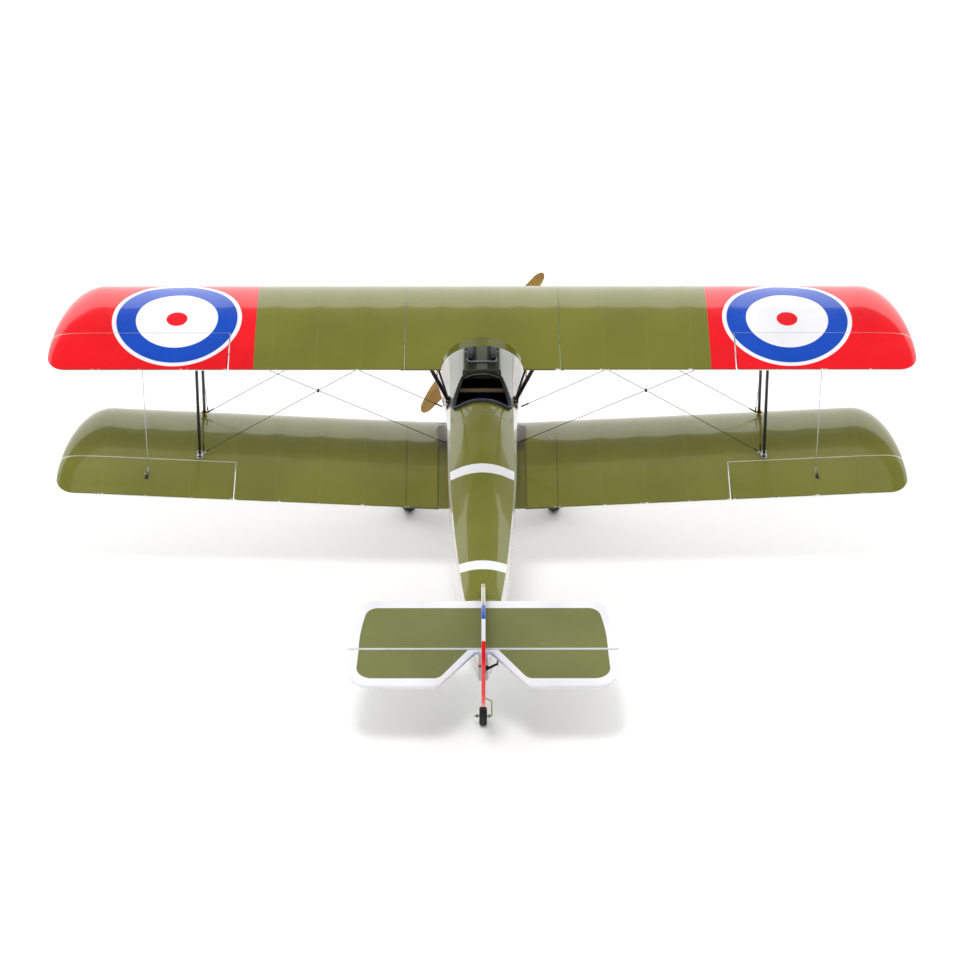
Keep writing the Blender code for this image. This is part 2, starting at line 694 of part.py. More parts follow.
def cockpit_outline(grow):
    """Plan of the cockpit opening: narrow straight front, bowed sides, wider arched rear."""
    right = [(share * COCKPIT_FRONT_HALF, COCKPIT_FRONT_Y + grow) for share in (0.25, 0.65)]
    right.append((COCKPIT_FRONT_HALF + grow, COCKPIT_FRONT_Y + grow))
    for k in range(1, 5):
        t = k / 5
        half = COCKPIT_FRONT_HALF + (COCKPIT_REAR_HALF - COCKPIT_FRONT_HALF) * math.sin(0.5 * math.pi * t)
        right.append((half + grow, COCKPIT_FRONT_Y + t * (COCKPIT_REAR_Y - COCKPIT_FRONT_Y)))
    right.append((COCKPIT_REAR_HALF + grow, COCKPIT_REAR_Y - 0.4 * grow))
    right += [(share * COCKPIT_REAR_HALF, COCKPIT_REAR_Y - grow) for share in (0.75, 0.45, 0.15)]
    return right + [(-x, y) for x, y in reversed(right)]


def make_coaming():
    """Padded rim round the cockpit opening, resting on the hatch."""
    inner, outer = cockpit_outline(0.0006), cockpit_outline(0.0095)
    bm = bmesh.new()
    loops = []
    for outline, rise in ((inner, 0.0012), (inner, 0.0080), (outer, 0.0070), (outer, 0.0012)):
        loops.append([bm.verts.new((x, y, rim_height(x, y) + rise)) for x, y in outline])
    count = len(loops[0])
    for here, there in zip(loops, loops[1:] + loops[:1]):
        for k in range(count):
            n = (k + 1) % count
            bm.faces.new((here[k], here[n], there[n], there[k]))
    finish_object("cockpit_coaming", bm, BLACK_METAL)


def rim_height(x, y):
    """Height of the hatch skin beside the cockpit."""
    lower, upper = STATIONS[1], STATIONS[0]
    if y < STATIONS[1][0]:
        lower, upper = STATIONS[2], STATIONS[1]
    share = min(1.0, max(0.0, (y - lower[0]) / (upper[0] - lower[0])))
    deck, edge, crown = (lower[i] + share * (upper[i] - lower[i]) for i in (2, 4, 5))
    across = min(1.0, abs(x) / deck)
    return edge + (crown - edge) * (1 - across ** 2) + 0.002


def make_guns():
    """Two dummy machine guns lying on the hump, muzzles forward."""
    for side in (-1, 1):
        x = side * 0.0300
        body = box((x - 0.0075, -0.2520, 0.1290), (x + 0.0075, -0.1980, 0.1500))
        gun = finish_object("gun_" + side_name(side), body, BLACK_METAL)
        add(gun, rod((x, -0.1990, 0.1400), (x, -0.1260, 0.1400), 0.0085, 10), "jacket")
        add(gun, rod((x, -0.1280, 0.1400), (x, -0.1160, 0.1400), 0.0040, 8), "muzzle")


# ---------------------------------------------------------------- tail

def tailplane_outline():
    right = [(0.2480, TAIL_LE_Y)]
    for k in range(1, 5):
        a = 0.5 * math.pi * k / 4
        right.append((0.2480 + 0.0380 * math.sin(a), TAIL_LE_Y - 0.0330 * (1 - math.cos(a))))
    right.append((0.3010, -1.1900))
    right.append((TAIL_TIP_X, TAIL_HINGE_Y + GAP))
    return right + [(-x, y) for x, y in reversed(right)]


def elevator_outline():
    """Plan of the elevator, with the V that lets the rudder swing."""
    right = [(TAIL_TIP_X, TAIL_HINGE_Y - GAP)]
    for k in range(6):
        a = 0.5 * math.pi * k / 5
        right.append((0.2590 + 0.0515 * math.cos(a), -1.3250 + (ELEVATOR_TE_Y + 1.3250) * math.sin(a)))
    right.append((0.1080, ELEVATOR_TE_Y))
    right.append((0.0950, -1.3790))
    right.append((0.0230, -1.2790))
    right.append((0.0150, -1.2722))
    return right + [(-x, y) for x, y in reversed(right)]


def bevelled_nose(half, angle):
    """Wedge-shaped envelope behind a hinge line, as (distance aft, offset)."""
    depth = half * math.tan(angle)
    return [(GAP, 0.0), (GAP + depth, half), (0.30, half), (0.30, -half), (GAP + depth, -half)]


ELEVATOR_SERVO_AXIS = Vector((-0.0465, -1.150, 0.039))
ELEVATOR_PIN = Vector((0.0, 0.0, -0.028))
RUDDER_SERVO_AXIS = Vector((0.0280, -1.070, 0.0270))
RUDDER_PIN = Vector((0.032, 0.0, 0.0))


def make_tailplane():
    top_z = TAIL_BOTTOM_Z + TAIL_THICKNESS
    finish_object("tailplane", extrude_xy(tailplane_outline(), TAIL_BOTTOM_Z, top_z), OLIVE)
    hinge = Vector((0.0, TAIL_HINGE_Y, TAIL_MID_Z))
    slab = extrude_xy(elevator_outline(), TAIL_BOTTOM_Z, top_z)
    elevator = finish_object("elevator", slab, OLIVE, hinge)
    nose = [(TAIL_HINGE_Y - aft, TAIL_MID_Z + up) for aft, up in bevelled_nose(TAIL_THICKNESS / 2, BEVEL)]
    keep_inside(elevator, extrude_yz(nose, -0.4, 0.4), "bevelled_nose")
    pin = hinge + ELEVATOR_PIN
    low = TAIL_BOTTOM_Z - 0.002
    horn = [(-1.2680, TAIL_MID_Z), (-1.2655, low), (pin.y + 0.003, pin.z), (pin.y, pin.z - 0.003),
            (pin.y - 0.004, pin.z), (-1.2900, low), (-1.2900, TAIL_MID_Z)]
    horn_x = ELEVATOR_SERVO_AXIS.x - 0.0062
    add(elevator, extrude_yz(horn, horn_x - 0.001, horn_x + 0.001), "horn")


def fin_outline():
    outline = [(-1.0600, 0.0868)]
    for k in range(1, 8):
        t = k / 7
        y = (1 - t) ** 2 * -1.0600 + 2 * t * (1 - t) * -1.1500 + t ** 2 * -1.2500
        z = (1 - t) ** 2 * 0.0885 + 2 * t * (1 - t) * 0.2080 + t ** 2 * 0.2148
        outline.append((y, z))
    hinge_side = TAIL_HINGE_Y + GAP
    top = TAIL_BOTTOM_Z + TAIL_THICKNESS + GAP
    outline += [(hinge_side, 0.2148), (hinge_side, top), (TAIL_LE_Y - GAP, top), (TAIL_LE_Y - GAP, 0.0856)]
    return outline


def rudder_outline():
    outline = [(TAIL_HINGE_Y - GAP, 0.2150)]
    centre_y = -1.300
    centre_z = 0.090
    reach = RUDDER_CHORD - (TAIL_HINGE_Y - centre_y)
    for k in range(13):
        a = math.pi * (0.5 - k / 12)
        semi = RUDDER_TOP_Z - centre_z if a > 0 else centre_z - RUDDER_BOTTOM_Z
        outline.append((centre_y - reach * math.cos(a), centre_z + semi * math.sin(a)))
    outline.append((TAIL_HINGE_Y - GAP, -0.0200))
    return outline


def make_fin_and_rudder():
    half = FIN_THICKNESS / 2
    finish_object("fin", extrude_yz(fin_outline(), -half, half), OLIVE)
    hinge = Vector((0.0, TAIL_HINGE_Y, 0.10))
    rudder = finish_object("rudder", extrude_yz(rudder_outline(), -half, half), RED, hinge)
    nose = [(across, TAIL_HINGE_Y - aft) for aft, across in bevelled_nose(half, math.radians(34))]
    keep_inside(rudder, extrude_xy(nose, -0.1, 0.3), "bevelled_nose")
    low, high = TAIL_MID_Z - 0.0130, TAIL_MID_Z + 0.0130
    notch = box((-0.02, TAIL_HINGE_Y - 0.0185, low), (0.02, TAIL_HINGE_Y + 0.01, high))
    cut(rudder, notch, "elevator_clearance")
    pin = Vector((0.0, TAIL_HINGE_Y, RUDDER_SERVO_AXIS.z + 0.0062)) + RUDDER_PIN
    horn = [(0.0, -1.2715), (0.0140, -1.2705), (pin.x, pin.y + 0.003), (pin.x + 0.003, pin.y),
            (pin.x, pin.y - 0.003), (0.0140, -1.2790), (0.0040, -1.2860), (0.0, -1.2860)]
    add(rudder, extrude_xy(horn, pin.z - 0.001, pin.z + 0.001), "horn")


def make_tail_drives():
    """Elevator servo on the left and rudder servo on the right, inside the tail cone."""
    axis = ELEVATOR_SERVO_AXIS
    case = box((-0.0300, -1.160, 0.0290), (-0.0020, -1.124, 0.0490))
    servo = finish_object("elevator_servo", case, PLASTIC)
    add(servo, rod((-0.0290, axis.y, axis.z), (-0.0444, axis.y, axis.z), 0.004), "shaft")
    arm = arm_plate(axis, axis + ELEVATOR_PIN, (1, 0, 0), 0.0022, 0.0055, 0.0030)
    finish_object("elevator_servo_arm", arm, PLASTIC, axis)
    aside = Vector((-0.0032, 0, 0))
    start = axis + ELEVATOR_PIN
    end = Vector((axis.x, TAIL_HINGE_Y, TAIL_MID_Z)) + ELEVATOR_PIN
    finish_object("elevator_pushrod", rod(start + aside, end + aside, 0.0015), STEEL, start)

    axis = RUDDER_SERVO_AXIS
    case = box((0.0180, -1.090, -0.0120), (0.0380, -1.052, 0.0200))
    servo = finish_object("rudder_servo", case, PLASTIC)
    add(servo, rod((axis.x, axis.y, 0.018), (axis.x, axis.y, 0.0250), 0.004), "shaft")
    arm = arm_plate(axis, axis + RUDDER_PIN, (0, 0, 1), 0.0022, 0.0055, 0.0030)
    finish_object("rudder_servo_arm", arm, PLASTIC, axis)
    aside = Vector((0, 0, 0.0032))
    start = axis + RUDDER_PIN
    end = Vector((0.0, TAIL_HINGE_Y, axis.z)) + RUDDER_PIN
    finish_object("rudder_pushrod", rod(start + aside, end + aside, 0.0015), STEEL, start)


def make_tailwheel():
    axle = Vector((0.0, TAILWHEEL_Y, TAILWHEEL_Z))
    top_z = RUDDER_BOTTOM_Z - GAP
    bends = [(0.0, top_z - 0.002), (0.0, top_z - 0.012), (0.0200, top_z - 0.022), (0.0200, TAILWHEEL_Z),
             (-0.0210, TAILWHEEL_Z)]
    wire = bent_wire([(x, TAILWHEEL_Y, z) for x, z in bends], 0.0017)
    bracket = finish_object("tailwheel_bracket", wire, BRASS)
    plate = box((-0.0045, TAILWHEEL_Y - 0.010, top_z - 0.003), (0.0045, TAILWHEEL_Y + 0.010, top_z))
    add(bracket, plate, "plate")
    add(bracket, rod((-0.0130, *axle.yz), (-0.0180, *axle.yz), 0.0042, 10), "collar")
    profile = [(-0.009, 0.0023), (-0.009, 0.0150), (-0.0065, 0.0205), (0.0, TAILWHEEL_RADIUS),
               (0.0065, 0.0205), (0.009, 0.0150), (0.009, 0.0023)]
    finish_object("tailwheel", turned(profile, axle, (1, 0, 0), 24), RUBBER, axle, smooth=True)


# ---------------------------------------------------------------- undercarriage

def make_undercarriage():
    for side in (-1, 1):
        name = side_name(side)
        hub = Vector((side * 0.1560, WHEEL_Y, WHEEL_Z))
        front = Vector((side * 0.0800, -0.1700, BELLY_Z - 0.0010))
        rear = Vector((side * 0.0740, -0.3300, BELLY_Z - 0.0010))
        leg = finish_object("undercarriage_" + name, strut(hub, front, 0.010, 0.016), BLACK_METAL)
        add(leg, strut(hub + Vector((0, -0.004, 0)), rear, 0.009, 0.014), "rear_leg")
        x0, x1 = span_box(side, 0.1480, 0.1640)
        low, high = (x0, WHEEL_Y - 0.013, WHEEL_Z - 0.012), (x1, WHEEL_Y + 0.012, WHEEL_Z + 0.012)
        add(leg, box(low, high), "axle_block")
        ends = [(side * x, WHEEL_Y, WHEEL_Z) for x in (0.140, 0.172)]
        cut(leg, rod(*ends, AXLE_RADIUS + 0.0008, 16), "axle_bore")
        make_wheel(side)
    axle = rod((-0.2180, WHEEL_Y, WHEEL_Z), (0.2180, WHEEL_Y, WHEEL_Z), AXLE_RADIUS, 12)
    spreader = finish_object("axle", axle, BLACK_METAL)
    add(spreader, strut_across(0.1440), "spreader")


def strut_across(half):
    """Flat streamlined fairing round the axle, between the two legs."""
    rings = []
    for x in (-half, half):
        ring = []
        for k in range(10):
            a = 2 * math.pi * k / 10
            ring.append((x, WHEEL_Y + 0.014 * math.cos(a), WHEEL_Z + 0.0065 * math.sin(a)))
        rings.append(ring)
    return loft(rings)


def make_wheel(side):
    name = side_name(side)
    centre = Vector((side * WHEEL_X, WHEEL_Y, WHEEL_Z))
    half = TYRE_WIDTH / 2
    tyre = [(-0.6 * half, RIM_RADIUS), (-half, RIM_RADIUS + 0.006), (-0.75 * half, WHEEL_RADIUS - 0.004),
            (0.0, WHEEL_RADIUS), (0.75 * half, WHEEL_RADIUS - 0.004), (half, RIM_RADIUS + 0.006),
            (0.6 * half, RIM_RADIUS)]
    finish_object("wheel_tyre_" + name, turned(tyre, centre, (1, 0, 0), 32), RUBBER, centre, smooth=True)
    rim = RIM_RADIUS - GAP
    bore = AXLE_RADIUS + 0.0008
    hub = [(-0.019, bore), (-0.019, 0.012), (-0.010, rim - 0.003), (-0.007, rim), (0.007, rim),
           (0.010, rim - 0.003), (0.019, 0.012), (0.019, bore)]
    finish_object("wheel_hub_" + name, turned(hub, centre, (1, 0, 0), 24), CREAM, centre, smooth=True)


# ---------------------------------------------------------------- nose

def make_nose():
    cowl = [(-0.1295, 0.1165), (-0.0560, 0.1165), (-0.0360, 0.1120), (-0.0240, 0.1010), (-0.0200, 0.0880),
            (-0.0240, 0.0800), (-0.0270, 0.0880), (-0.0300, 0.0980), (-0.0400, 0.1080), (-0.0580, 0.1130),
            (-0.1295, 0.1130)]
    finish_object("engine_cowl", turned(cowl, (0, 0, 0), (0, 1, 0), 32), CREAM, smooth=True)
    make_dummy_engine()
    motor = [(-0.1290, 0.0), (-0.1290, 0.0300), (-0.1250, 0.0300), (-0.1250, 0.0240), (-0.1060, 0.0240),
             (-0.1060, 0.0)]
    finish_object("motor", turned(motor, (0, 0, 0), (0, 1, 0), 20), ALUMINIUM, smooth=True)
    can = [(-0.1050, 0.0), (-0.1050, 0.0250), (-0.0560, 0.0250), (-0.0500, 0.0200), (-0.0400, 0.0120),
           (-0.0110, 0.0120), (-0.0110, 0.0040), (0.0110, 0.0040), (0.0110, 0.0095), (0.0170, 0.0095),
           (0.0215, 0.0040), (0.0215, 0.0)]
    finish_object("motor_can", turned(can, (0, 0, 0), (0, 1, 0), 20), ALUMINIUM, (0, 0, 0), smooth=True)
    make_propeller()


def make_dummy_engine():
    """Nine cylinders on a crankcase ring that surrounds the motor inside the cowl."""
    ring = [(-0.0950, 0.0280), (-0.0950, 0.0400), (-0.0680, 0.0400), (-0.0680, 0.0280)]
    engine = finish_object("dummy_engine", turned(ring, (0, 0, 0), (0, 1, 0), 36), BLACK_METAL)
    for k in range(9):
        a = 2 * math.pi * (k + 0.25) / 9
        outward = Vector((math.sin(a), 0.0, math.cos(a)))
        middle = Vector((0.0, -0.0815, 0.0))
        add(engine, rod(middle + 0.0350 * outward, middle + 0.1000 * outward, 0.0115, 10), "cylinder_%d" % k)


def blade_section(reach):
    """Chord, thickness and leading-edge offset of the blade at a fraction of its radius."""
    chord = 0.020 + 0.0255 * math.sin(math.pi * min(1.0, reach * 0.98) ** 1.35)
    if reach > 0.90:
        chord *= math.sqrt(max(0.04, 1 - ((reach - 0.90) / 0.102) ** 2))
    thick = 0.0105 * (1 - reach) + 0.0024
    sweep = 0.007 * math.sin(math.pi * reach) - 0.004 * reach
    return chord, thick, sweep


# share of the chord ahead of the middle, share of the thickness off the chord line
BLADE_SECTION = (
    (0.5, 0.0), (0.30, 0.5), (0.0, 0.62), (-0.30, 0.40), (-0.5, 0.0), (-0.25, -0.22), (0.25, -0.30),
)


def blade(direction):
    """One twisted blade: its leading edge is on the clockwise side seen from the tail."""
    rings = []
    for reach in (0.03, 0.14, 0.28, 0.42, 0.56, 0.70, 0.82, 0.91, 0.965, 0.998):
        chord, thick, sweep = blade_section(reach)
        radius = reach * PROP_RADIUS
        twist = math.atan2(PROP_PITCH, 2 * math.pi * max(radius, 0.035))
        ring = []
        for u, w in BLADE_SECTION:
            along = u * chord + sweep
            off = w * thick
            across = along * math.cos(twist) - off * math.sin(twist)
            forward = along * math.sin(twist) + off * math.cos(twist)
            ring.append((direction * across, forward, direction * radius))
        rings.append(ring)
    return loft(rings)


def make_propeller():
    hub = [(-0.0100, 0.0), (-0.0100, 0.0150), (-0.0070, 0.0190), (0.0070, 0.0190), (0.0100, 0.0150),
           (0.0100, 0.0)]
    boss = turned(hub, (0, 0, 0), (0, 1, 0), 20)
    propeller = finish_object("propeller", boss, WOOD, (0, 0, 0), smooth=True)
    add(propeller, blade(1), "blade_up")
    add(propeller, blade(-1), "blade_down")
    cut(propeller, rod((0, -0.03, 0), (0, 0.03, 0), 0.0046, 16), "bore")
    turn = Matrix.Rotation(PROP_PARKED, 4, 'Y')
    for item in bpy.data.objects:
        if item.name.startswith("propeller"):
            item.rotation_euler = turn.to_euler()


# ---------------------------------------------------------------- equipment in the bay

def make_equipment():
    floor = BAY_FLOOR_Z + GAP
    finish_object("equipment_tray", box((-0.0400, -0.3900, floor), (0.0400, -0.1650, floor + 0.004)), PLY)
    deck = floor + 0.004 + GAP
    finish_object("battery_pack", box((-0.0250, -0.3100, deck), (0.0250, -0.1700, deck + 0.0450)), BLUE_WRAP)
    case = box((-0.0200, -0.3850, deck), (0.0050, -0.3200, deck + 0.0160))
    finish_object("speed_controller", case, PLASTIC)
    finish_object("receiver", box((0.0120, -0.3780, deck), (0.0350, -0.3250, deck + 0.0150)), PLASTIC)


make_upper_wing()
make_lower_wing()
for hand in (-1, 1):
    make_interplane(hand)
    make_cabane(hand)
    make_bracing(hand)
make_fuselage()
make_hatch()
make_coaming()
make_guns()
make_tailplane()
make_fin_and_rudder()
make_tail_drives()
make_tailwheel()
make_undercarriage()
make_nose()
make_equipment()
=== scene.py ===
"""Looks of the quarter-scale biplane: covered wings and tail, cockpit, wires, wheels, engine.

Every piece is drawn in the aircraft frame (x right wing, y nose, z up, origin at the propeller
hub) and then placed by the matrix AIR, which comes from the propeller joint of the frame.
"""
import json
from math import asin, atan2, cos, exp, pi, radians, sin, sqrt, tan
import random

import bmesh
import bpy
from mathutils import Matrix, Vector, noise


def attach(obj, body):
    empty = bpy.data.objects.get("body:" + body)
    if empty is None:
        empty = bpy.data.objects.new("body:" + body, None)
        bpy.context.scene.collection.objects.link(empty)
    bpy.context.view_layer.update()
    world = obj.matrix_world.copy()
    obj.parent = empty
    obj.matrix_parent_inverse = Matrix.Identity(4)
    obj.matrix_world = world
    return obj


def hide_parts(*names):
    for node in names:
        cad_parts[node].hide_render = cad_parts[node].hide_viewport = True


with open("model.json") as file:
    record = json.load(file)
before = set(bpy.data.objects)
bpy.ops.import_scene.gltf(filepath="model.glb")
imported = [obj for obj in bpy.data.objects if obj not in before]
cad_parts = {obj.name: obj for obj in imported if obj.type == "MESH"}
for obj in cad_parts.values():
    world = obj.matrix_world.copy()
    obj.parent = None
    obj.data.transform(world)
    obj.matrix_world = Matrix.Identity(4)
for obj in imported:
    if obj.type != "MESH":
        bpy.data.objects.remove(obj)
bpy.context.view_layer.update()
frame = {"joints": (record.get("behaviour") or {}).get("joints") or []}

JOINTS = {joint["name"]: joint for joint in frame["joints"]}
SIDES = ((-1, "left"), (1, "right"))


def aircraft_matrix():
    """Where the aircraft frame stands: hub and nose direction of the propeller joint."""
    nose = Vector(JOINTS["propeller_spin"]["axis"]).normalized()
    wing = Vector((1, 0, 0))
    matrix = Matrix((wing, nose, wing.cross(nose))).transposed().to_4x4()
    matrix.translation = Vector(JOINTS["propeller_spin"]["pos_m"])
    return matrix


AIR = aircraft_matrix()

# ------------------------------------------------------------ dimensions, metres

CHORD = 0.343
HALF_SPAN = 1.065
TIP_START = 0.946
TIP_TRAILING_START = 1.018
TIP_POINT = 0.84
THICKNESS = 0.12
CAMBER = 0.028
UPPER_LE_Y = -0.1374
UPPER_Z = 0.2826
LOWER_LE_Y = UPPER_LE_Y - 0.078
LOWER_Z = -0.1013
DIHEDRAL = radians(3.34)
CENTRE_HALF = 0.19
LOWER_ROOT_X = 0.109
CUTOUT_HALF = 0.1
CUTOUT_DEPTH = 0.105
HINGE = 0.65                    # chord fraction of the aileron hinges
HINGE_DROP = 0.0008
BAY_X = 0.62                    # the ailerons start here
BEVEL = radians(29)
GAP = 0.0005
RIB_PITCH = 0.1079
CAP_HALF = 0.003                # half width of a rib's cap strip
SAG = 0.0017                    # deepest sag of the film between two ribs
SAG_PEAK = 0.12                 # chord fraction where the film sags most
RED_FROM_X = 0.559              # the red tips start here
ROUNDEL_X = 0.755
ROUNDEL_Y = UPPER_LE_Y - 0.5 * CHORD
STRUT_X = 0.71
FRONT_SPAR = 0.1
REAR_SPAR = 0.6

DECK_BANDS = ((-0.65, -0.617), (-0.993, -0.963))
TAIL_LE_Y = -1.097
TAIL_HINGE_Y = -1.262
TAIL_MID_Z = 0.07585
TAIL_HALF_THICK = 0.00465
FIN_HALF_THICK = 0.0044
FIN_CURVE_Y = (-1.06, -1.15, -1.25)  # corners of the curve over the fin
FIN_CURVE_Z = (0.0885, 0.208, 0.2148)


# ------------------------------------------------------------ node materials

class Nodes:
    """A node tree; the methods add nodes and give back their output sockets."""

    def __init__(self, tree):
        self.tree = tree

    def add(self, kind, inputs=(), **settings):
        node = self.tree.nodes.new(kind)
        for key, value in settings.items():
            setattr(node, key, value)
        for key, value in dict(inputs).items():
            if isinstance(value, bpy.types.NodeSocket):
                self.tree.links.new(value, node.inputs[key])
            else:
                node.inputs[key].default_value = value
        return node

    def math(self, operation, a, b=0.0):
        return self.add("ShaderNodeMath", {0: a, 1: b, 2: 0.0}, operation=operation).outputs[0]

    def times(self, a, b):
        return self.math('MULTIPLY', a, b)

    def plus(self, a, b):
        return self.math('ADD', a, b)

    def minus(self, a, b):
        return self.math('SUBTRACT', a, b)

    def ramp(self, value, low, high, to_low=0.0, to_high=1.0, smooth=False):
        """Value mapped from low..high to to_low..to_high and clamped there."""
        kind = 'SMOOTHSTEP' if smooth else 'LINEAR'
        inputs = {"Value": value, "From Min": low, "From Max": high, "To Min": to_low, "To Max": to_high}
        return self.add("ShaderNodeMapRange", inputs, interpolation_type=kind).outputs[0]


MIX_A, MIX_B, MIX_RESULT = 6, 7, 2  # the colour sockets of a Mix node


class Paint(Nodes):
    """One material, painted by position in the aircraft frame."""

    def __init__(self, name, colour=(0.5, 0.5, 0.5), roughness=0.5, **sockets):
        self.material = bpy.data.materials.new(name)
        self.material.use_nodes = True
        super().__init__(self.material.node_tree)
        self.shader = self.tree.nodes["Principled BSDF"]
        self.set("Base Color", (*colour, 1.0))
        self.set("Roughness", roughness)
        for socket, value in sockets.items():
            self.set(socket.replace("_", " "), value)
        self.normal = None

    def set(self, socket, value):
        if isinstance(value, bpy.types.NodeSocket):
            self.tree.links.new(value, self.shader.inputs[socket])
        else:
            self.shader.inputs[socket].default_value = value

    def surface(self, colour, value, low, high):
        """Base colour, and a roughness from low to high over the middle of a noise."""
        self.set("Base Color", colour)
        self.set("Roughness", self.ramp(value, 0.3, 0.7, low, high))

    def place(self):
        """Position in the aircraft frame, at rest."""
        if not hasattr(self, "_place"):
            coords = self.add("ShaderNodeTexCoord").outputs["Object"]
            inputs = {"Vector": coords, "Location": AIR.translation, "Rotation": AIR.to_euler()}
            self._place = self.add("ShaderNodeMapping", inputs, vector_type='TEXTURE').outputs[0]
        return self._place

    def axes(self):
        if not hasattr(self, "_axes"):
            self._axes = self.add("ShaderNodeSeparateXYZ", {0: self.place()}).outputs
        return self._axes

    def across(self):
        """Distance from the plane of symmetry."""
        return self.math('ABSOLUTE', self.axes()[0])

    def noise(self, scale, detail=2.0, roughness=0.5, stretch=None, distortion=0.0):
        vector = self.place()
        if stretch:
            vector = self.add("ShaderNodeMapping", {"Vector": vector, "Scale": stretch}).outputs[0]
        inputs = {"Vector": vector, "Scale": scale, "Detail": detail, "Roughness": roughness,
                  "Distortion": distortion}
        return self.add("ShaderNodeTexNoise", inputs).outputs["Fac"]

    def below(self, value, limit, soft=0.0004):
        return self.ramp(value, limit - soft, limit + soft, 1.0, 0.0)

    def above(self, value, limit, soft=0.0004):
        return self.minus(1.0, self.below(value, limit, soft))

    def band(self, value, low, high, soft=0.0004):
        return self.times(self.below(value, high, soft), self.above(value, low, soft))

    def mix(self, factor, a, b):
        a, b = (c if isinstance(c, bpy.types.NodeSocket) else (*c, 1.0) for c in (a, b))
        node = self.add("ShaderNodeMix", {0: factor, MIX_A: a, MIX_B: b}, data_type='RGBA')
        return node.outputs[MIX_RESULT]

    def shade(self, colour, amount, factor):
        """Colour darkened by amount where factor is 1."""
        return self.mix(self.times(factor, amount), colour, (0.0, 0.0, 0.0))

    def bump(self, height, distance):
        inputs = {"Height": height, "Distance": distance, "Strength": 1.0}
        if self.normal:
            inputs["Normal"] = self.normal
        self.normal = self.add("ShaderNodeBump", inputs).outputs[0]
        self.set("Normal", self.normal)

    def rib_lines(self, half=0.0012):
        """1 on thin lines across the span at the ribs, from the distance to the nearest rib."""
        turn = self.math('DIVIDE', self.minus(self.across(), CENTRE_HALF), RIB_PITCH)
        away = self.math('ABSOLUTE', self.minus(turn, self.math('ROUND', turn)))
        return self.below(self.times(away, RIB_PITCH), half, 0.0006)


OLIVE = (0.165, 0.169, 0.023)
OLIVE_TAIL = (0.168, 0.178, 0.056)
RED = (0.78, 0.001, 0.008)
BLUE = (0.001, 0.06, 0.45)
WHITE = (0.79, 0.79, 0.82)
CREAM = (0.68, 0.67, 0.61)
DARK_GREEN = (0.075, 0.09, 0.05)


def glossy_film(name, paint_colour, wrinkle=0.00022, roughness=0.2):
    """Ironed-on covering film: clear gloss, faint wrinkles, small changes of shade."""
    paint = Paint(name, roughness=roughness, Coat_Weight=0.8, Coat_Roughness=0.03, Specular_IOR_Level=0.3)
    colour = paint_colour(paint)
    cloud = paint.noise(5.0, 3.0)
    colour = paint.shade(colour, 0.14, paint.ramp(cloud, 0.35, 0.75, smooth=True))
    speck = paint.noise(420.0, 1.0)
    colour = paint.mix(paint.ramp(speck, 0.74, 0.8, 0.0, 0.25), colour, (0.55, 0.55, 0.45))
    paint.surface(colour, paint.noise(11.0, 4.0), roughness - 0.03, roughness + 0.06)
    paint.bump(paint.noise(16.0, 3.0, stretch=(1.0, 0.45, 1.0), distortion=0.6), wrinkle * 6)
    paint.bump(paint.noise(140.0, 2.0), wrinkle * 0.35)
    return paint.material


def trailing_edge_glints(paint, colour, trailing_y):
    """Painted glints: white spots along the trailing edge, thickest at the ribs, over a darker strip at the
    edge.
    """
    y = paint.axes()[1]
    edge = paint.below(y, trailing_y + 0.0026, 0.0008)
    near_rib = paint.rib_lines(0.011)
    glint_spots = paint.ramp(paint.noise(170.0, 2.0, stretch=(1.0, 0.3, 0.3)), 0.55, 0.58)
    dark = paint.times(edge, 0.55)
    colour = paint.mix(dark, colour, (0.05, 0.05, 0.02))
    # painted glints: white spots at the trailing edge beside the ribs
    glint = paint.times(paint.times(edge, near_rib), glint_spots)
    return paint.mix(paint.times(glint, 0.9), colour, WHITE)


def wing_olive(paint):
    """Olive film, a shade paler over the ribs, with a dark line beside the centre section painted as the
    shade in the gap there.
    """
    across = paint.across()
    outside = paint.above(across, CENTRE_HALF + 0.01)
    ribs = paint.times(paint.times(paint.rib_lines(), outside), 0.22)
    colour = paint.mix(ribs, OLIVE, (0.24, 0.25, 0.08))
    # painted shade: a dark line along the gap beside the centre section
    joint = paint.band(across, CENTRE_HALF - 0.0012, CENTRE_HALF + 0.0014)
    return paint.mix(paint.times(joint, 0.6), colour, (0.06, 0.06, 0.03))


def end_colour(paint):
    """Pale faces beside the ailerons; near-black ones at the roots of the panels, painted as the shade in the
    gap there.
    """
    across = paint.across()
    # painted shade: the faces at the panel roots are made near-black
    return paint.mix(paint.below(across, CENTRE_HALF + 0.01), (0.8, 0.79, 0.72), (0.05, 0.05, 0.03))


def stub_colour(paint):
    """Root fairing: dark beside the bay, olive behind it."""
    forward = paint.ramp(paint.axes()[1], -0.375, -0.345, 0.25, 0.92)
    return paint.mix(forward, OLIVE, (0.06, 0.055, 0.036))


def distance(paint, dx, dy):
    return paint.math('SQRT', paint.plus(paint.times(dx, dx), paint.times(dy, dy)))


def upper_top_colour(paint):
    """Olive middle, red tips, and a ringed disc on each tip."""
    across, y = paint.across(), paint.axes()[1]
    colour = wing_olive(paint)
    colour = paint.mix(paint.above(across, RED_FROM_X), colour, RED)
    dx = paint.minus(across, ROUNDEL_X)
    dy = paint.minus(y, ROUNDEL_Y)
    away = distance(paint, dx, dy)
    for radius, ring in ((0.1605, WHITE), (0.1498, BLUE), (0.1015, WHITE), (0.026, RED)):
        colour = paint.mix(paint.below(away, radius), colour, ring)
    # the trailing edge gets painted glints here
    return trailing_edge_glints(paint, colour, UPPER_LE_Y - CHORD)


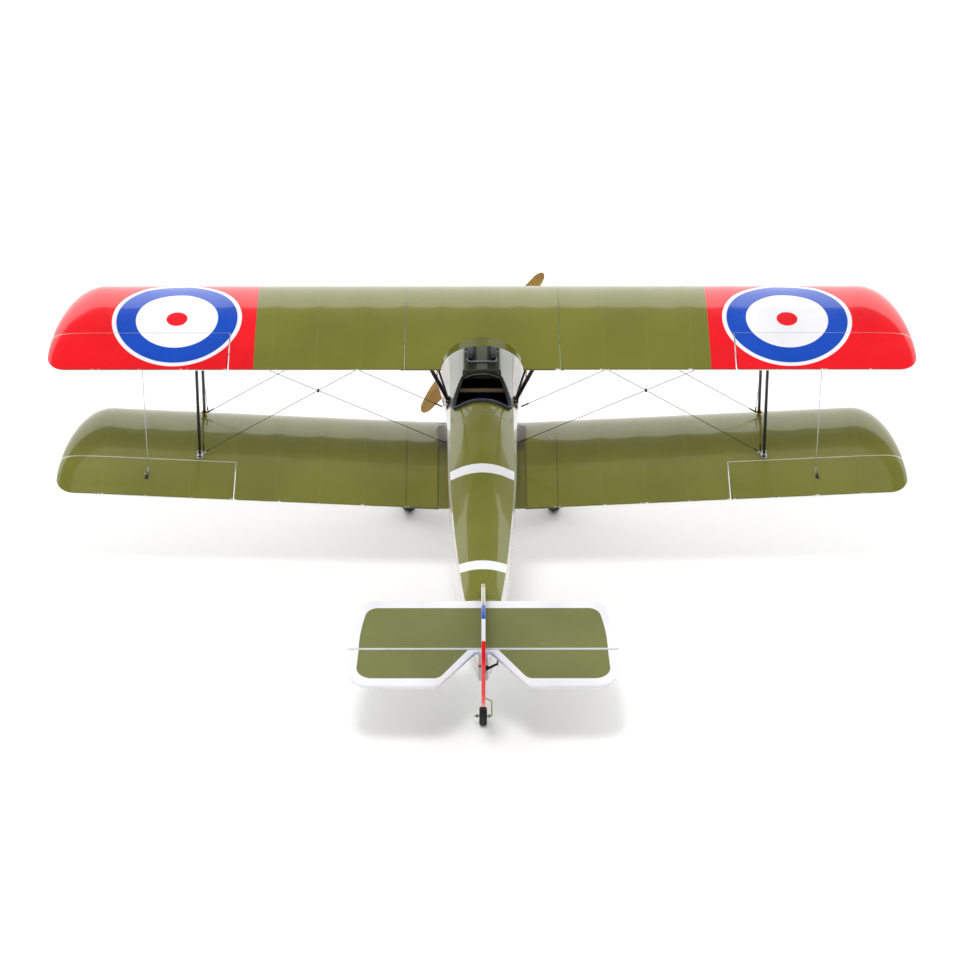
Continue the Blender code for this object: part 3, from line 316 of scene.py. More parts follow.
def lower_top_colour(paint):
    across, y = paint.across(), paint.axes()[1]
    colour = wing_olive(paint)
    root = paint.below(across, LOWER_ROOT_X + 0.0035)
    colour = paint.mix(paint.times(root, 0.7), colour, (0.055, 0.05, 0.032))
    hinge_y = LOWER_LE_Y - HINGE * CHORD
    hinge = paint.band(y, hinge_y - 0.0012, hinge_y + 0.0016)
    outer = paint.above(across, BAY_X)
    colour = paint.mix(paint.times(paint.times(hinge, outer), 0.45), colour, WHITE)
    # the trailing edge gets painted glints here
    return trailing_edge_glints(paint, colour, LOWER_LE_Y - CHORD)


def underside_colour(paint):
    """Cream film with the wooden ribs showing through as faint shadows."""
    ribs = paint.rib_lines(0.003)
    return paint.mix(paint.times(ribs, 0.35), CREAM, (0.42, 0.38, 0.28))


def deck_colour(paint):
    """Olive decking with two white bands; cream beside the cockpit and forward of it."""
    _, y, _ = paint.axes()
    colour = OLIVE
    for rear, front in DECK_BANDS:
        colour = paint.mix(paint.band(y, rear, front), colour, WHITE)
    return paint.mix(paint.above(y, -0.35), colour, (0.52, 0.53, 0.48))


def side_colour(paint):
    """Cream sides with a red stripe low on the side."""
    _, y, z = paint.axes()
    middle = paint.ramp(y, -1.25, -0.13, 0.026, -0.004)
    half = paint.ramp(y, -1.25, -0.13, 0.004, 0.0185)
    away = paint.math('ABSOLUTE', paint.minus(z, middle))
    stripe = paint.below(paint.minus(away, half), 0.0)
    return paint.mix(stripe, CREAM, (0.62, 0.012, 0.02))


def rudder_colour(paint):
    _, y, _ = paint.axes()
    colour = paint.mix(paint.below(y, -1.313), BLUE, WHITE)
    return paint.mix(paint.below(y, -1.363), colour, RED)


def round_box(paint, dx, dy, radius):
    """Signed distance to a region with a rounded corner, from the distances to its two edges."""
    out_x = paint.math('MAXIMUM', paint.plus(dx, radius), 0.0)
    out_y = paint.math('MAXIMUM', paint.plus(dy, radius), 0.0)
    out = distance(paint, out_x, out_y)
    larger = paint.math('MAXIMUM', paint.plus(dx, radius), paint.plus(dy, radius))
    return paint.minus(paint.plus(out, paint.math('MINIMUM', larger, 0.0)), radius)


def tail_colour(paint):
    """Olive middle inside a white border, on the tailplane and the elevator."""
    across, y = paint.across(), paint.axes()[1]
    bow = paint.ramp(y, TAIL_HINGE_Y, TAIL_HINGE_Y + 0.14)
    side_edge = paint.minus(paint.ramp(y, -1.33, TAIL_HINGE_Y, 0.2885, 0.285),
                           paint.times(paint.times(bow, bow), 0.019))
    dx = paint.minus(across, side_edge)
    front = paint.minus(y, -1.1225)
    tailplane = round_box(paint, dx, front, 0.022)
    rear = paint.minus(-1.36, y)
    elevator = round_box(paint, dx, rear, 0.036)
    run = Vector((0.0965 - 0.033, -1.354 + 1.2628)).normalized()
    vee = paint.plus(paint.times(paint.minus(across, 0.033), run.y),
                     paint.times(paint.minus(y, -1.2628), -run.x))
    elevator = round_box(paint, elevator, vee, 0.01)
    inside = paint.mix(paint.below(elevator, 0.0, 0.0005), WHITE, OLIVE_TAIL)
    front_part = paint.mix(paint.below(tailplane, 0.0, 0.0005), WHITE, OLIVE_TAIL)
    colour = paint.mix(paint.below(y, TAIL_HINGE_Y), front_part, inside)
    seam = paint.band(y, TAIL_HINGE_Y - 0.003, TAIL_HINGE_Y + 0.003)
    return paint.mix(seam, colour, WHITE)


def fin_colour(paint):
    x, y, z = paint.axes()
    t = paint.ramp(y, -1.25, -1.06, 1.0, 0.0)
    rise = paint.minus(1.0, t)
    front, middle, rear = FIN_CURVE_Z
    curve = paint.plus(paint.times(paint.times(rise, rise), front),
                       paint.plus(paint.times(paint.times(rise, t), 2 * middle),
                                  paint.times(paint.times(t, t), rear)))
    colour = paint.mix(paint.below(paint.minus(z, curve), -0.024), WHITE, OLIVE_TAIL)
    edge = paint.times(paint.below(paint.math('ABSOLUTE', x), 0.0032), paint.below(y, -1.078))
    return paint.mix(edge, colour, (0.34, 0.35, 0.24))


def hump_colour(paint):
    """Dark green, with paler strips beside and between the guns painted as highlights."""
    across, y = paint.across(), paint.axes()[1]
    # painted highlights: paler strips along the top of the hump
    highlight_strips = paint.math('MAXIMUM', paint.below(across, 0.0135, 0.0012),
                      paint.band(across, 0.043, 0.0475, 0.0012))
    top = paint.above(y, -0.2605, 0.001)
    return paint.mix(paint.times(paint.times(highlight_strips, top), 0.75), DARK_GREEN, (0.24, 0.28, 0.2))


def plain(colour):
    return lambda paint: paint.mix(0.0, colour, colour)


def worn_metal(name, colour, roughness, metallic, wear=(0.45, 0.45, 0.46), amount=0.35, grain=220.0):
    """Painted or bare metal with fine grain, uneven gloss and small rubbed spots."""
    paint = Paint(name, colour, roughness, Metallic=metallic)
    rub = paint.ramp(paint.noise(55.0, 5.0, 0.65), 0.62, 0.74, 0.0, amount)
    shade = paint.shade(paint.mix(rub, colour, wear), 0.25, paint.noise(14.0, 3.0))
    paint.surface(shade, paint.noise(grain, 3.0), roughness - 0.08, roughness + 0.1)
    paint.bump(paint.noise(grain * 2, 2.0), 0.00006)
    return paint.material


def wood(name, light, dark, grain_stretch, gloss=0.35, coat=0.4, layers=None):
    """Wood with drawn-out grain, and glued layers where they are given as (axis, pitch)."""
    paint = Paint(name, light, gloss, Coat_Weight=coat, Coat_Roughness=0.12)
    grain = paint.noise(38.0, 5.0, 0.6, stretch=grain_stretch, distortion=0.8)
    fibre = paint.noise(260.0, 3.0, 0.6, stretch=grain_stretch)
    colour = paint.mix(paint.ramp(grain, 0.3, 0.72), light, dark)
    colour = paint.shade(colour, 0.3, paint.ramp(fibre, 0.45, 0.75))
    if layers:
        axis, pitch = layers
        turn = paint.math('DIVIDE', paint.axes()[axis], pitch)
        step = paint.math('FRACT', turn)
        colour = paint.shade(colour, 0.3, paint.below(step, 0.1, 0.05))
        odd = paint.math('PINGPONG', paint.math('FLOOR', turn), 1.0)
        colour = paint.shade(colour, 0.14, odd)
    paint.surface(colour, fibre, gloss - 0.08, gloss + 0.1)
    paint.bump(fibre, 0.00012)
    return paint.material


def moulded(name, colour, roughness, grain=900.0, depth=0.00008, **sockets):
    """Plastic or rubber with a fine moulded texture and slight shade changes."""
    paint = Paint(name, colour, roughness, **sockets)
    shade = paint.shade(paint.mix(0.0, colour, colour), 0.3, paint.noise(24.0, 3.0))
    paint.surface(shade, paint.noise(60.0, 3.0), roughness - 0.08, roughness + 0.08)
    paint.bump(paint.noise(grain, 2.0), depth)
    return paint.material


# ------------------------------------------------------------ mesh helpers

FINISHES = {}                   # materials by name, filled by make_finishes


def to_mesh(bm, name):
    mesh = bpy.data.meshes.new(name)
    bm.to_mesh(mesh)
    bm.free()
    return mesh


def add_object(name, data):
    made = bpy.data.objects.new(name, data)
    bpy.context.scene.collection.objects.link(made)
    return made


def piece(name, bm, finishes, body, *nodes, slot, angle=35, matrix=None):
    """Finished object from a bmesh in the aircraft frame; it stands for the CAD nodes named."""
    if matrix:
        bmesh.ops.transform(bm, matrix=matrix, verts=bm.verts)
    bmesh.ops.recalc_face_normals(bm, faces=bm.faces)
    bmesh.ops.transform(bm, matrix=AIR, verts=bm.verts)
    mesh = to_mesh(bm, name)
    for finish in finishes.split():
        mesh.materials.append(FINISHES[finish])
    mesh.shade_smooth()
    mesh.set_sharp_from_angle(angle=radians(angle))
    made = add_object(name, mesh)
    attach(made, body)
    if nodes:
        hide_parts(*nodes)


def temporary(bm):
    """Object for a Boolean, with enough empty material slots to keep the face numbers."""
    bmesh.ops.recalc_face_normals(bm, faces=bm.faces)
    mesh = to_mesh(bm, "work")
    for _ in range(4):
        mesh.materials.append(None)
    return add_object("work", mesh)


def boolean(bm, other, operation='DIFFERENCE'):
    """bm after one closed body is taken from it, joined to it or kept in common with it."""
    target = temporary(bm)
    tool = temporary(other)
    modifier = target.modifiers.new("work", 'BOOLEAN')
    modifier.operation = operation
    modifier.object = tool
    modifier.solver = 'EXACT'
    result = bmesh.new()
    result.from_object(target, bpy.context.evaluated_depsgraph_get())
    for item in (target, tool):
        mesh = item.data
        bpy.data.objects.remove(item, do_unlink=True)
        bpy.data.meshes.remove(mesh)
    return result


def absorb(bm, other, matrix=None, number=None):
    """Add another bmesh to bm."""
    if matrix is not None:
        bmesh.ops.transform(other, matrix=matrix, verts=other.verts)
    if number is not None:
        for face in other.faces:
            face.material_index = number
    mesh = to_mesh(other, "work")
    bm.from_mesh(mesh)
    bpy.data.meshes.remove(mesh)


def skin(bm, rings, caps=True, number=0, joined=False):
    """Quads through rings of equal length, and an n-gon over each end unless it is a loop."""
    levels = [[bm.verts.new(p) for p in ring] for ring in rings]
    count = len(levels[0])
    pairs = list(zip(levels, levels[1:]))
    if joined:
        pairs.append((levels[-1], levels[0]))
    for here, there in pairs:
        for k in range(count):
            n = (k + 1) % count
            bm.faces.new((here[k], here[n], there[n], there[k])).material_index = number
    if caps and not joined:
        for end in (levels[0], levels[-1]):
            bm.faces.new(end).material_index = number


def circle(count, turn=0.0):
    """Cosine and sine at equal steps around a circle; turn is a share of one step."""
    angles = [2 * pi * (k + turn) / count for k in range(count)]
    return [(cos(a), sin(a)) for a in angles]


def mirrored(half):
    return half + [(-a, b) for a, b in reversed(half)]


def ordered(a, b):
    """Low and high corner of the box between two points."""
    return zip(*(sorted(pair) for pair in zip(a, b)))


def tube(bm, path, radius, count=10, number=0, joined=False):
    """Round bar along a path; the radius is one number, or one for each point."""
    points = [Vector(p) for p in path]
    radii = radius if isinstance(radius, (list, tuple)) else [radius] * len(points)
    rings = []
    side = None
    last = len(points) - 1
    for k, point in enumerate(points):
        before = point - points[k - 1] if k or joined else points[1] - point
        after = points[(k + 1) % len(points)] - point if k < last or joined else before
        tangent = (before.normalized() + after.normalized()).normalized()
        if side is None:
            side = tangent.orthogonal()
        side = (side - side.dot(tangent) * tangent).normalized()
        other = tangent.cross(side)
        rings.append([point + radii[k] * (c * side + s * other) for c, s in circle(count)])
    skin(bm, rings, number=number, joined=joined)


def bar(bm, start, end, radius, count=10, number=0):
    """Round bar with slightly rounded ends."""
    start, end = Vector(start), Vector(end)
    step = min(0.4 * radius, 0.2 * (end - start).length) * (end - start).normalized()
    radii = [0.72 * radius, radius, radius, 0.72 * radius]
    tube(bm, (start, start + step, end - step, end), radii, count, number)


def turned(bm, profile, centre, axis, count=32, number=0):
    """Solid of revolution. The profile is a closed list of (distance along the axis, radius)."""
    axis = Vector(axis).normalized()
    side = axis.orthogonal().normalized()
    other = axis.cross(side)
    columns = []
    for along, radius in profile:
        middle = Vector(centre) + along * axis
        if radius == 0:
            columns.append([bm.verts.new(middle)] * count)
            continue
        columns.append([bm.verts.new(middle + radius * (c * side + s * other)) for c, s in circle(count)])
    for here, there in zip(columns, columns[1:] + columns[:1]):
        for k in range(count):
            n = (k + 1) % count
            corners = list(dict.fromkeys((here[k], here[n], there[n], there[k])))
            if len(corners) > 2:
                bm.faces.new(corners).material_index = number


def block(bm, low, high, edge=0.0006, number=0, matrix=None):
    """Box with rounded edges."""
    work = bmesh.new()
    bmesh.ops.create_cube(work, size=1.0)
    low, high = ordered(low, high)
    for vert in work.verts:
        vert.co = [low[i] + (vert.co[i] + 0.5) * (high[i] - low[i]) for i in range(3)]
    bmesh.ops.bevel(work, geom=work.edges[:], offset=edge, segments=2, affect='EDGES', profile=0.5)
    absorb(bm, work, matrix, number)


def plain_box(low, high, number=0):
    """Sharp box, used only to cut with."""
    bm = bmesh.new()
    (x0, y0, z0), (x1, y1, z1) = ordered(low, high)
    skin(bm, [[(x0, y0, z), (x1, y0, z), (x1, y1, z), (x0, y1, z)] for z in (z0, z1)], number=number)
    return bm


def plate(bm, outline, x0, x1, number=0):
    """Flat plate across x with an outline of (y, z) points and softened edges."""
    middle = Vector((sum(p[0] for p in outline), sum(p[1] for p in outline))) / len(outline)
    rings = []
    for x, keep in ((x0, 0.94), (x0 + 0.15 * (x1 - x0), 1.0), (x1 - 0.15 * (x1 - x0), 1.0), (x1, 0.94)):
        ring = [middle + keep * (Vector(p) - middle) for p in outline]
        rings.append([(x, p.x, p.y) for p in ring])
    skin(bm, rings, number=number)


def inset(outline, distances):
    """Plan outline moved inwards, by its own distance for each edge from point k to point k + 1."""
    count = len(outline)
    points = [Vector(p) for p in outline]
    area = sum(a.cross(b) for a, b in zip(points, points[1:] + points[:1]))
    turn = 1 if area > 0 else -1
    moved = []
    for k in range(count):
        before = (points[k] - points[k - 1]).normalized()
        after = (points[(k + 1) % count] - points[k]).normalized()
        first = turn * Vector((-before.y, before.x))
        second = turn * Vector((-after.y, after.x))
        d0, d1 = distances[k - 1], distances[k]
        cross = first.cross(second)
        if abs(cross) < 0.05:
            moved.append(points[k] + 0.5 * (d0 + d1) * (first + second).normalized())
        else:
            shift = Vector((d0 * second.y - d1 * first.y, d1 * first.x - d0 * second.x))
            moved.append(points[k] + shift / cross)
    return moved


EDGE_LEVELS = ((1.0, -1.0, 0.0015), (0.75, -0.8, 0.0004), (0.3, -0.35, 0.0), (0.3, 0.35, 0.0),
               (0.75, 0.8, 0.0004), (1.0, 1.0, 0.0015))


def slab(bm, outline, half, place, hinge_edges=(), bevel=0.0):
    """Flat surface with rounded edges, and a wedge-shaped edge where it is hinged."""
    rings = []
    for share, height, round_off in EDGE_LEVELS:
        distances = [bevel * share if k in hinge_edges else round_off for k in range(len(outline))]
        rings.append([place(p.x, p.y, height * half) for p in inset(outline, distances)])
    skin(bm, rings)


def smooth_loop(points, per=4):
    """Closed curve through plan points."""
    result = []
    count = len(points)
    for k in range(count):
        p0, p1, p2, p3 = (Vector(points[(k + i) % count]) for i in (-1, 0, 1, 2))
        for i in range(per):
            t = i / per
            result.append(0.5 * (2 * p1 + t * (p2 - p0) + t * t * (2 * p0 - 5 * p1 + 4 * p2 - p3)
                                 + t ** 3 * (3 * p1 - p0 - 3 * p2 + p3)))
    return result


# ------------------------------------------------------------ wings

def half_thickness(t):
    return 5 * THICKNESS * (0.2969 * sqrt(t) - 0.126 * t - 0.3516 * t ** 2
                            + 0.2843 * t ** 3 - 0.1015 * t ** 4) + 0.0025 * t


def camber(t):
    return 4 * CAMBER * t * (1 - t)


def surface_z(t, upper=True):
    return CHORD * (camber(t) + (1 if upper else -1) * half_thickness(t))


def tip_lead(x):
    u = max(0.0, (x - TIP_START) / (HALF_SPAN - TIP_START))
    return TIP_POINT * (1 - sqrt(max(0.0, 1 - u * u)))


def tip_trail(x):
    u = max(0.0, (x - TIP_TRAILING_START) / (HALF_SPAN - TIP_TRAILING_START))
    return 1 - (1 - TIP_POINT) * (1 - sqrt(max(0.0, 1 - u * u)))


def lower_matrix(side):
    pivot = Matrix.Translation((0, 0, LOWER_Z))
    return pivot @ Matrix.Rotation(-side * DIHEDRAL, 4, 'Y') @ pivot.inverted()


def sag_share(x, ribs):
    """0 on the cap strip of each rib, 1 half-way between two ribs."""
    for a, b in zip(ribs, ribs[1:]):
        if a <= x <= b:
            w = min(1.0, max(0.0, (x - a - CAP_HALF) / (b - a - 2 * CAP_HALF)))
            return 4 * w * (1 - w)
    return 0.0


def sag_profile(t):
    """How the sag is spread along the chord: deepest just behind the leading edge."""
    u = t / SAG_PEAK
    return 0.85 * u * exp(1 - u) + 0.15 * sqrt(max(0.0, t * (1 - t)))


BAY_STEPS = (0.0, 0.08, 0.2, 0.35, 0.5, 0.65, 0.8, 0.92, 1.0)
WING_RIBS = [CENTRE_HALF + GAP + k * RIB_PITCH for k in range(8)]


def span_stations(ribs, start, end):
    """Places along the span, closer together beside each cap strip."""
    stations = {start, end}
    for a, b in zip(ribs, ribs[1:]):
        stations.add(a)
        for w in BAY_STEPS:
            stations.add(a + CAP_HALF + w * (b - a - 2 * CAP_HALF))
    stations.add(ribs[-1])
    chosen = sorted(x for x in stations if start <= x <= end)
    return [x for k, x in enumerate(chosen) if k == 0 or x - chosen[k - 1] > 1e-5]


def tip_stations(last, count=15):
    """Places along the raked tip, closer together towards its end."""
    reach = asin((last - TIP_START) / (HALF_SPAN - TIP_START))
    return [TIP_START + (HALF_SPAN - TIP_START) * sin(reach * k / count) for k in range(1, count + 1)]


class Section:
    """One wing section; t runs from 0 at its leading edge to 1 at its trailing edge."""

    def __init__(self, side, x, le_y, plane_z, ribs):
        self.side, self.x, self.le_y, self.plane_z = side, x, le_y, plane_z
        self.lead, self.trail = tip_lead(x), tip_trail(x)
        self.depth = SAG * sag_share(x, ribs)

    def share(self, chord_share):
        return min(1.0, max(0.0, (chord_share - self.lead) / (self.trail - self.lead)))

    def point(self, t, upper, out=0.0):
        size = (self.trail - self.lead) * CHORD
        sign = 1 if upper else -1
        z = self.plane_z + size * (camber(t) + sign * half_thickness(t))
        z -= sign * self.depth * sag_profile(t) * (1.0 if upper else 0.6)
        y = self.le_y - (self.lead + t * (self.trail - self.lead)) * CHORD
        return Vector((self.side * (self.x + out), y, z))


TOP, UNDER, END = 0, 1, 2


def join_columns(bm, columns):
    """Faces between sections given as (top, bottom) rows that start at the leading edge."""
    def face(number, *corners):
        corners = list(dict.fromkeys(corners))
        if len(corners) > 2:
            bm.faces.new(corners).material_index = number

    def rungs(column, first):
        top, bottom = column
        for i in range(first, len(top) - 1):
            face(END, top[i], top[i + 1], bottom[i + 1], bottom[i])

    rungs(columns[0], 0)
    for (top_a, low_a), (top_b, low_b) in zip(columns, columns[1:]):
        shared = min(len(top_a), len(top_b)) - 1
        for i in range(shared):
            face(TOP, top_a[i], top_a[i + 1], top_b[i + 1], top_b[i])
            face(UNDER, low_a[i], low_a[i + 1], low_b[i + 1], low_b[i])
        face(END, top_a[shared], low_a[shared], low_b[shared], top_b[shared])
        if top_a[0] is not low_a[0]:
            face(END, top_a[0], low_a[0], low_b[0], top_b[0])
        if len(top_a) > len(top_b):
            rungs((top_a, low_a), shared)
    rungs(columns[-1], 0)


def wing_panel(side, le_y, plane_z, root, ribs):
    """Fixed part of a wing half: whole sections, then only their front part ahead of the aileron."""
    bm = bmesh.new()
    columns = []
    bay_start = BAY_X - 0.0008
    stations = span_stations(ribs, root, TIP_START) + tip_stations(1.0612)
    stations = sorted(set(stations) | {bay_start})
    for x in stations:
        section = Section(side, x, le_y, plane_z, ribs)
        hinge = section.share(HINGE - GAP / CHORD)
        shares = [hinge * (1 - cos(0.5 * pi * i / 22)) for i in range(23)]
        if x <= bay_start:
            shares += [hinge + (1 - hinge) * i / 10 for i in range(1, 11)]
        top = [bm.verts.new(section.point(t, True)) for t in shares]
        low = [top[0]] + [bm.verts.new(section.point(t, False)) for t in shares[1:]]
        columns.append((top, low))
    join_columns(bm, columns)
    return bm


def aileron_body(side, le_y, plane_z):
    """Moving rear part, with a sloped front face and a slightly slanted inboard end."""
    bm = bmesh.new()
    hinge_z = plane_z + surface_z(HINGE) - HINGE_DROP
    hinge_y = le_y - HINGE * CHORD - GAP
    start = BAY_X + 0.0015
    columns = []
    for x in span_stations(WING_RIBS, start, TIP_START) + tip_stations(1.0647, 18):
        section = Section(side, x, le_y, plane_z, WING_RIBS)
        fronts = []
        for upper in (True, False):
            share = section.share(HINGE + GAP / CHORD)
            for _ in range(3):
                depth = max(0.0, hinge_z - section.point(share, upper).z)
                share = section.share((le_y - hinge_y + tan(BEVEL) * depth) / CHORD)
            fronts.append(share)
        first, under = fronts
        top, low = [], []
        for i in range(13):
            w = i / 12
            out = 0.004 * w if x == start else 0.0
            top.append(bm.verts.new(section.point(first + (1 - first) * w, True, out)))
            low.append(bm.verts.new(section.point(under + (1 - under) * w, False, out)))
        columns.append((top, low))
    join_columns(bm, columns)
    bmesh.ops.remove_doubles(bm, verts=bm.verts, dist=1e-6)
    return bm


def centre_section():
    """Middle of the upper wing, with the rounded cut-out over the cockpit."""
    bm = bmesh.new()
    half = CENTRE_HALF
    ribs = [-half, -half / 2, 0.0, half / 2, half]
    stations = set(span_stations(ribs, -half, half))
    stations = {x for x in stations if abs(x) > CUTOUT_HALF}
    for k in range(33):
        stations.add(CUTOUT_HALF * cos(pi * k / 32))
    columns = []
    for x in sorted(stations):
        section = Section(1, x, UPPER_LE_Y, UPPER_Z, ribs)
        bow = sqrt(max(0.0, 1 - (x / CUTOUT_HALF) ** 2))
        end = 1 - CUTOUT_DEPTH * bow / CHORD
        shares = [end * (1 - cos(pi * i / 64)) for i in range(22)]
        shares += [shares[-1] + (end - shares[-1]) * i / 12 for i in range(1, 13)]
        top = [bm.verts.new(section.point(t, True)) for t in shares]
        low = [top[0]] + [bm.verts.new(section.point(t, False)) for t in shares[1:]]
        columns.append((top, low))
    join_columns(bm, columns)
    return bm


LINK_X = 0.836
AILERON_SERVO_X = 0.72
HORN_PIN = Vector((0.0, -0.004, -0.034))
LINK_PIN_LOWER = Vector((0.0, -0.058, -0.003))
LINK_PIN_UPPER = Vector((0.0, -0.058, -0.029))
AILERON_ARM_Y = LOWER_LE_Y - 0.42 * CHORD


def hinge_point(side, x, le_y, plane_z):
    return Vector((side * x, le_y - HINGE * CHORD, plane_z + surface_z(HINGE) - HINGE_DROP))


def horn(bm, root, pin, x, spread, number=0):
    """Control horn: a tapering plate from the surface to its pin, with a round eye."""
    sign = 1.0 if root.z > pin.z else -1.0
    outline = [(root.y + spread, root.z), (pin.y + 0.003, pin.z + 0.001 * sign)]
    for k in range(1, 6):
        a = pi * k / 6
        outline.append((pin.y + 0.003 * cos(a), pin.z - 0.003 * sign * sin(a)))
    outline += [(pin.y - 0.003, pin.z + 0.001 * sign), (root.y - spread, root.z)]
    plate(bm, outline, x - 0.001, x + 0.001, number)


def build_wings():
    piece("wing_centre_cover", centre_section(), "upper_top under upper_top", "airframe",
          "upper_wing_centre", slot="olive_film", angle=40)
    for side, name in SIDES:
        for level, le_y, plane_z, root in (("upper", UPPER_LE_Y, UPPER_Z, CENTRE_HALF + GAP),
                                           ("lower", LOWER_LE_Y, LOWER_Z, LOWER_ROOT_X)):
            lower = level == "lower"
            ribs = [LOWER_ROOT_X] + WING_RIBS if lower else WING_RIBS
            panel = wing_panel(side, le_y, plane_z, root, ribs)
            if lower:
                low = (side * (AILERON_SERVO_X - 0.034), AILERON_ARM_Y - 0.022, LOWER_Z - 0.04)
                high = (side * (AILERON_SERVO_X + 0.008), AILERON_ARM_Y + 0.02, LOWER_Z + 0.019)
                panel = boolean(panel, plain_box(low, high, END))
            matrix = lower_matrix(side) if lower else None
            films = level + "_top under end"
            piece("%s_wing_cover_%s" % (level, name), panel, films, "airframe",
                  "%s_wing_%s" % (level, name), slot="olive_film", angle=40, matrix=matrix)
            moving = "aileron_%s_%s" % (level, name)
            piece("%s_aileron_cover_%s" % (level, name), aileron_body(side, le_y, plane_z), films,
                  moving, moving, slot="olive_film" if lower else "red_film", angle=40, matrix=matrix)


def drive(name, case, axis, pin, end, across, aside, boss=None, suffix="", matrix=None):
    """Servo, its arm, and the rod from the arm's pin to the horn's pin at end."""
    bm = bmesh.new()
    servo_case(bm, *case)
    if boss:
        bar(bm, *boss, 0.0038, 14)
    piece(name + "_servo_case" + suffix, bm, "plastic steel", "airframe", name + "_servo" + suffix,
          slot="black_plastic", matrix=matrix)
    bm = bmesh.new()
    servo_arm(bm, axis, pin, across)
    arm = name + "_servo_arm" + suffix
    piece(name + "_arm" + suffix, bm, "plastic steel", arm, arm, slot="black_plastic", matrix=matrix)
    bm = bmesh.new()
    pushrod(bm, pin + aside, end + aside)
    rod = name + "_pushrod" + suffix
    piece(name + "_rod" + suffix, bm, "steel plastic", rod, rod, slot="steel_wire", matrix=matrix)


def build_aileron_drives():
    for side, name in SIDES:
        matrix = lower_matrix(side)
        for level, le_y, plane_z, shift in (("upper", UPPER_LE_Y, UPPER_Z, LINK_PIN_UPPER),
                                            ("lower", LOWER_LE_Y, LOWER_Z, LINK_PIN_LOWER)):
            bm = bmesh.new()
            pin = hinge_point(side, LINK_X, le_y, plane_z) + shift
            skin_share = HINGE + 0.058 / CHORD
            if level == "upper":
                root_z = plane_z + surface_z(skin_share, False) + 0.002
            else:
                root_z = plane_z + surface_z(skin_share) - 0.002
            x = side * (LINK_X + 0.0045)
            horn(bm, Vector((0, pin.y, root_z)), pin, x, 0.01)
            block(bm, (x - 0.004, pin.y - 0.01, root_z - 0.001),
                  (x + 0.004, pin.y + 0.01, root_z + 0.0026), 0.0004)
            bar(bm, (x - 0.006, pin.y, pin.z), (x + 0.0022, pin.y, pin.z), 0.0011, 8, 1)
            if level == "lower":
                pin = hinge_point(side, AILERON_SERVO_X, le_y, plane_z) + HORN_PIN
                base = Vector((0, pin.y - 0.025, plane_z + surface_z(0.72, False) + 0.004))
                horn(bm, base, pin, side * (AILERON_SERVO_X + 0.0062), 0.01)
            piece("horn_%s_%s" % (level, name), bm, "plastic steel", "aileron_%s_%s" % (level, name),
                  slot="black_plastic", matrix=matrix if level == "lower" else None)

        axis = Vector((side * AILERON_SERVO_X, AILERON_ARM_Y, LOWER_Z + 0.009))
        pin_z = hinge_point(side, 0, LOWER_LE_Y, LOWER_Z).z + HORN_PIN.z
        end = Vector((side * AILERON_SERVO_X, LOWER_LE_Y - HINGE * CHORD + HORN_PIN.y, pin_z))
        case = ((side * (AILERON_SERVO_X - 0.032), AILERON_ARM_Y - 0.018, LOWER_Z - 0.003),
                (side * (AILERON_SERVO_X - 0.004), AILERON_ARM_Y + 0.018, LOWER_Z + 0.0185))
        drive("aileron", case, axis, axis + HORN_PIN, end, (1, 0, 0), Vector((side * 0.0032, 0, 0)),
              suffix="_" + name, matrix=matrix)
        low = matrix @ (hinge_point(side, LINK_X, LOWER_LE_Y, LOWER_Z) + LINK_PIN_LOWER)
        high = hinge_point(side, LINK_X, UPPER_LE_Y, UPPER_Z) + LINK_PIN_UPPER
        bm = bmesh.new()
        pushrod(bm, low, high, 0.001, 0.022)
        piece("aileron_link_rod_" + name, bm, "steel plastic", "aileron_link_" + name,
              "aileron_link_" + name, slot="steel_wire")


def servo_case(bm, low, high):
    """Servo body with a lid line and screws."""
    (x0, y0, z0), (x1, y1, z1) = ordered(low, high)
    seam = z0 + 0.35 * (z1 - z0)
    block(bm, (x0, y0, seam + 0.0003), (x1, y1, z1), 0.0008)
    block(bm, (x0, y0, z0), (x1, y1, seam - 0.0003), 0.0008)
    block(bm, (x0 + 0.001, y0 + 0.001, seam - 0.0006), (x1 - 0.001, y1 - 0.001, seam + 0.0006), 0.0002)
    for x in (x0 + 0.003, x1 - 0.003):
        for y in (y0 + 0.003, y1 - 0.003):
            bar(bm, (x, y, z0 + 0.0004), (x, y, z0 - 0.0005), 0.0014, 10, 1)


def servo_arm(bm, axis_point, pin_point, across):
    """Tapered arm with round ends, a raised hub, centre screw and linkage holes."""
    axis_point, pin_point, across = Vector(axis_point), Vector(pin_point), Vector(across).normalized()
    along = (pin_point - axis_point).normalized()
    side = across.cross(along)
    outline = []
    for k in range(13):
        a = pi * (0.5 + k / 12)
        outline.append(axis_point + 0.0054 * (cos(a) * along + sin(a) * side))
    for k in range(13):
        a = pi * (-0.5 + k / 12)
        outline.append(pin_point + 0.0029 * (cos(a) * along + sin(a) * side))
    middle = 0.5 * (axis_point + pin_point)
    rings = []
    for height, keep in ((-0.0011, 0.94), (-0.0008, 1.0), (0.0008, 1.0), (0.0011, 0.94)):
        rings.append([middle + keep * (p - middle) + height * across for p in outline])
    skin(bm, rings)
    bar(bm, axis_point - 0.0022 * across, axis_point + 0.0022 * across, 0.0034, 14)
    bar(bm, axis_point - 0.0027 * across, axis_point + 0.0027 * across, 0.0016, 10, 1)
    for share in (0.45, 0.62, 0.79):
        spot = axis_point.lerp(pin_point, share)
        bar(bm, spot - 0.0014 * across, spot + 0.0014 * across, 0.0011, 8)


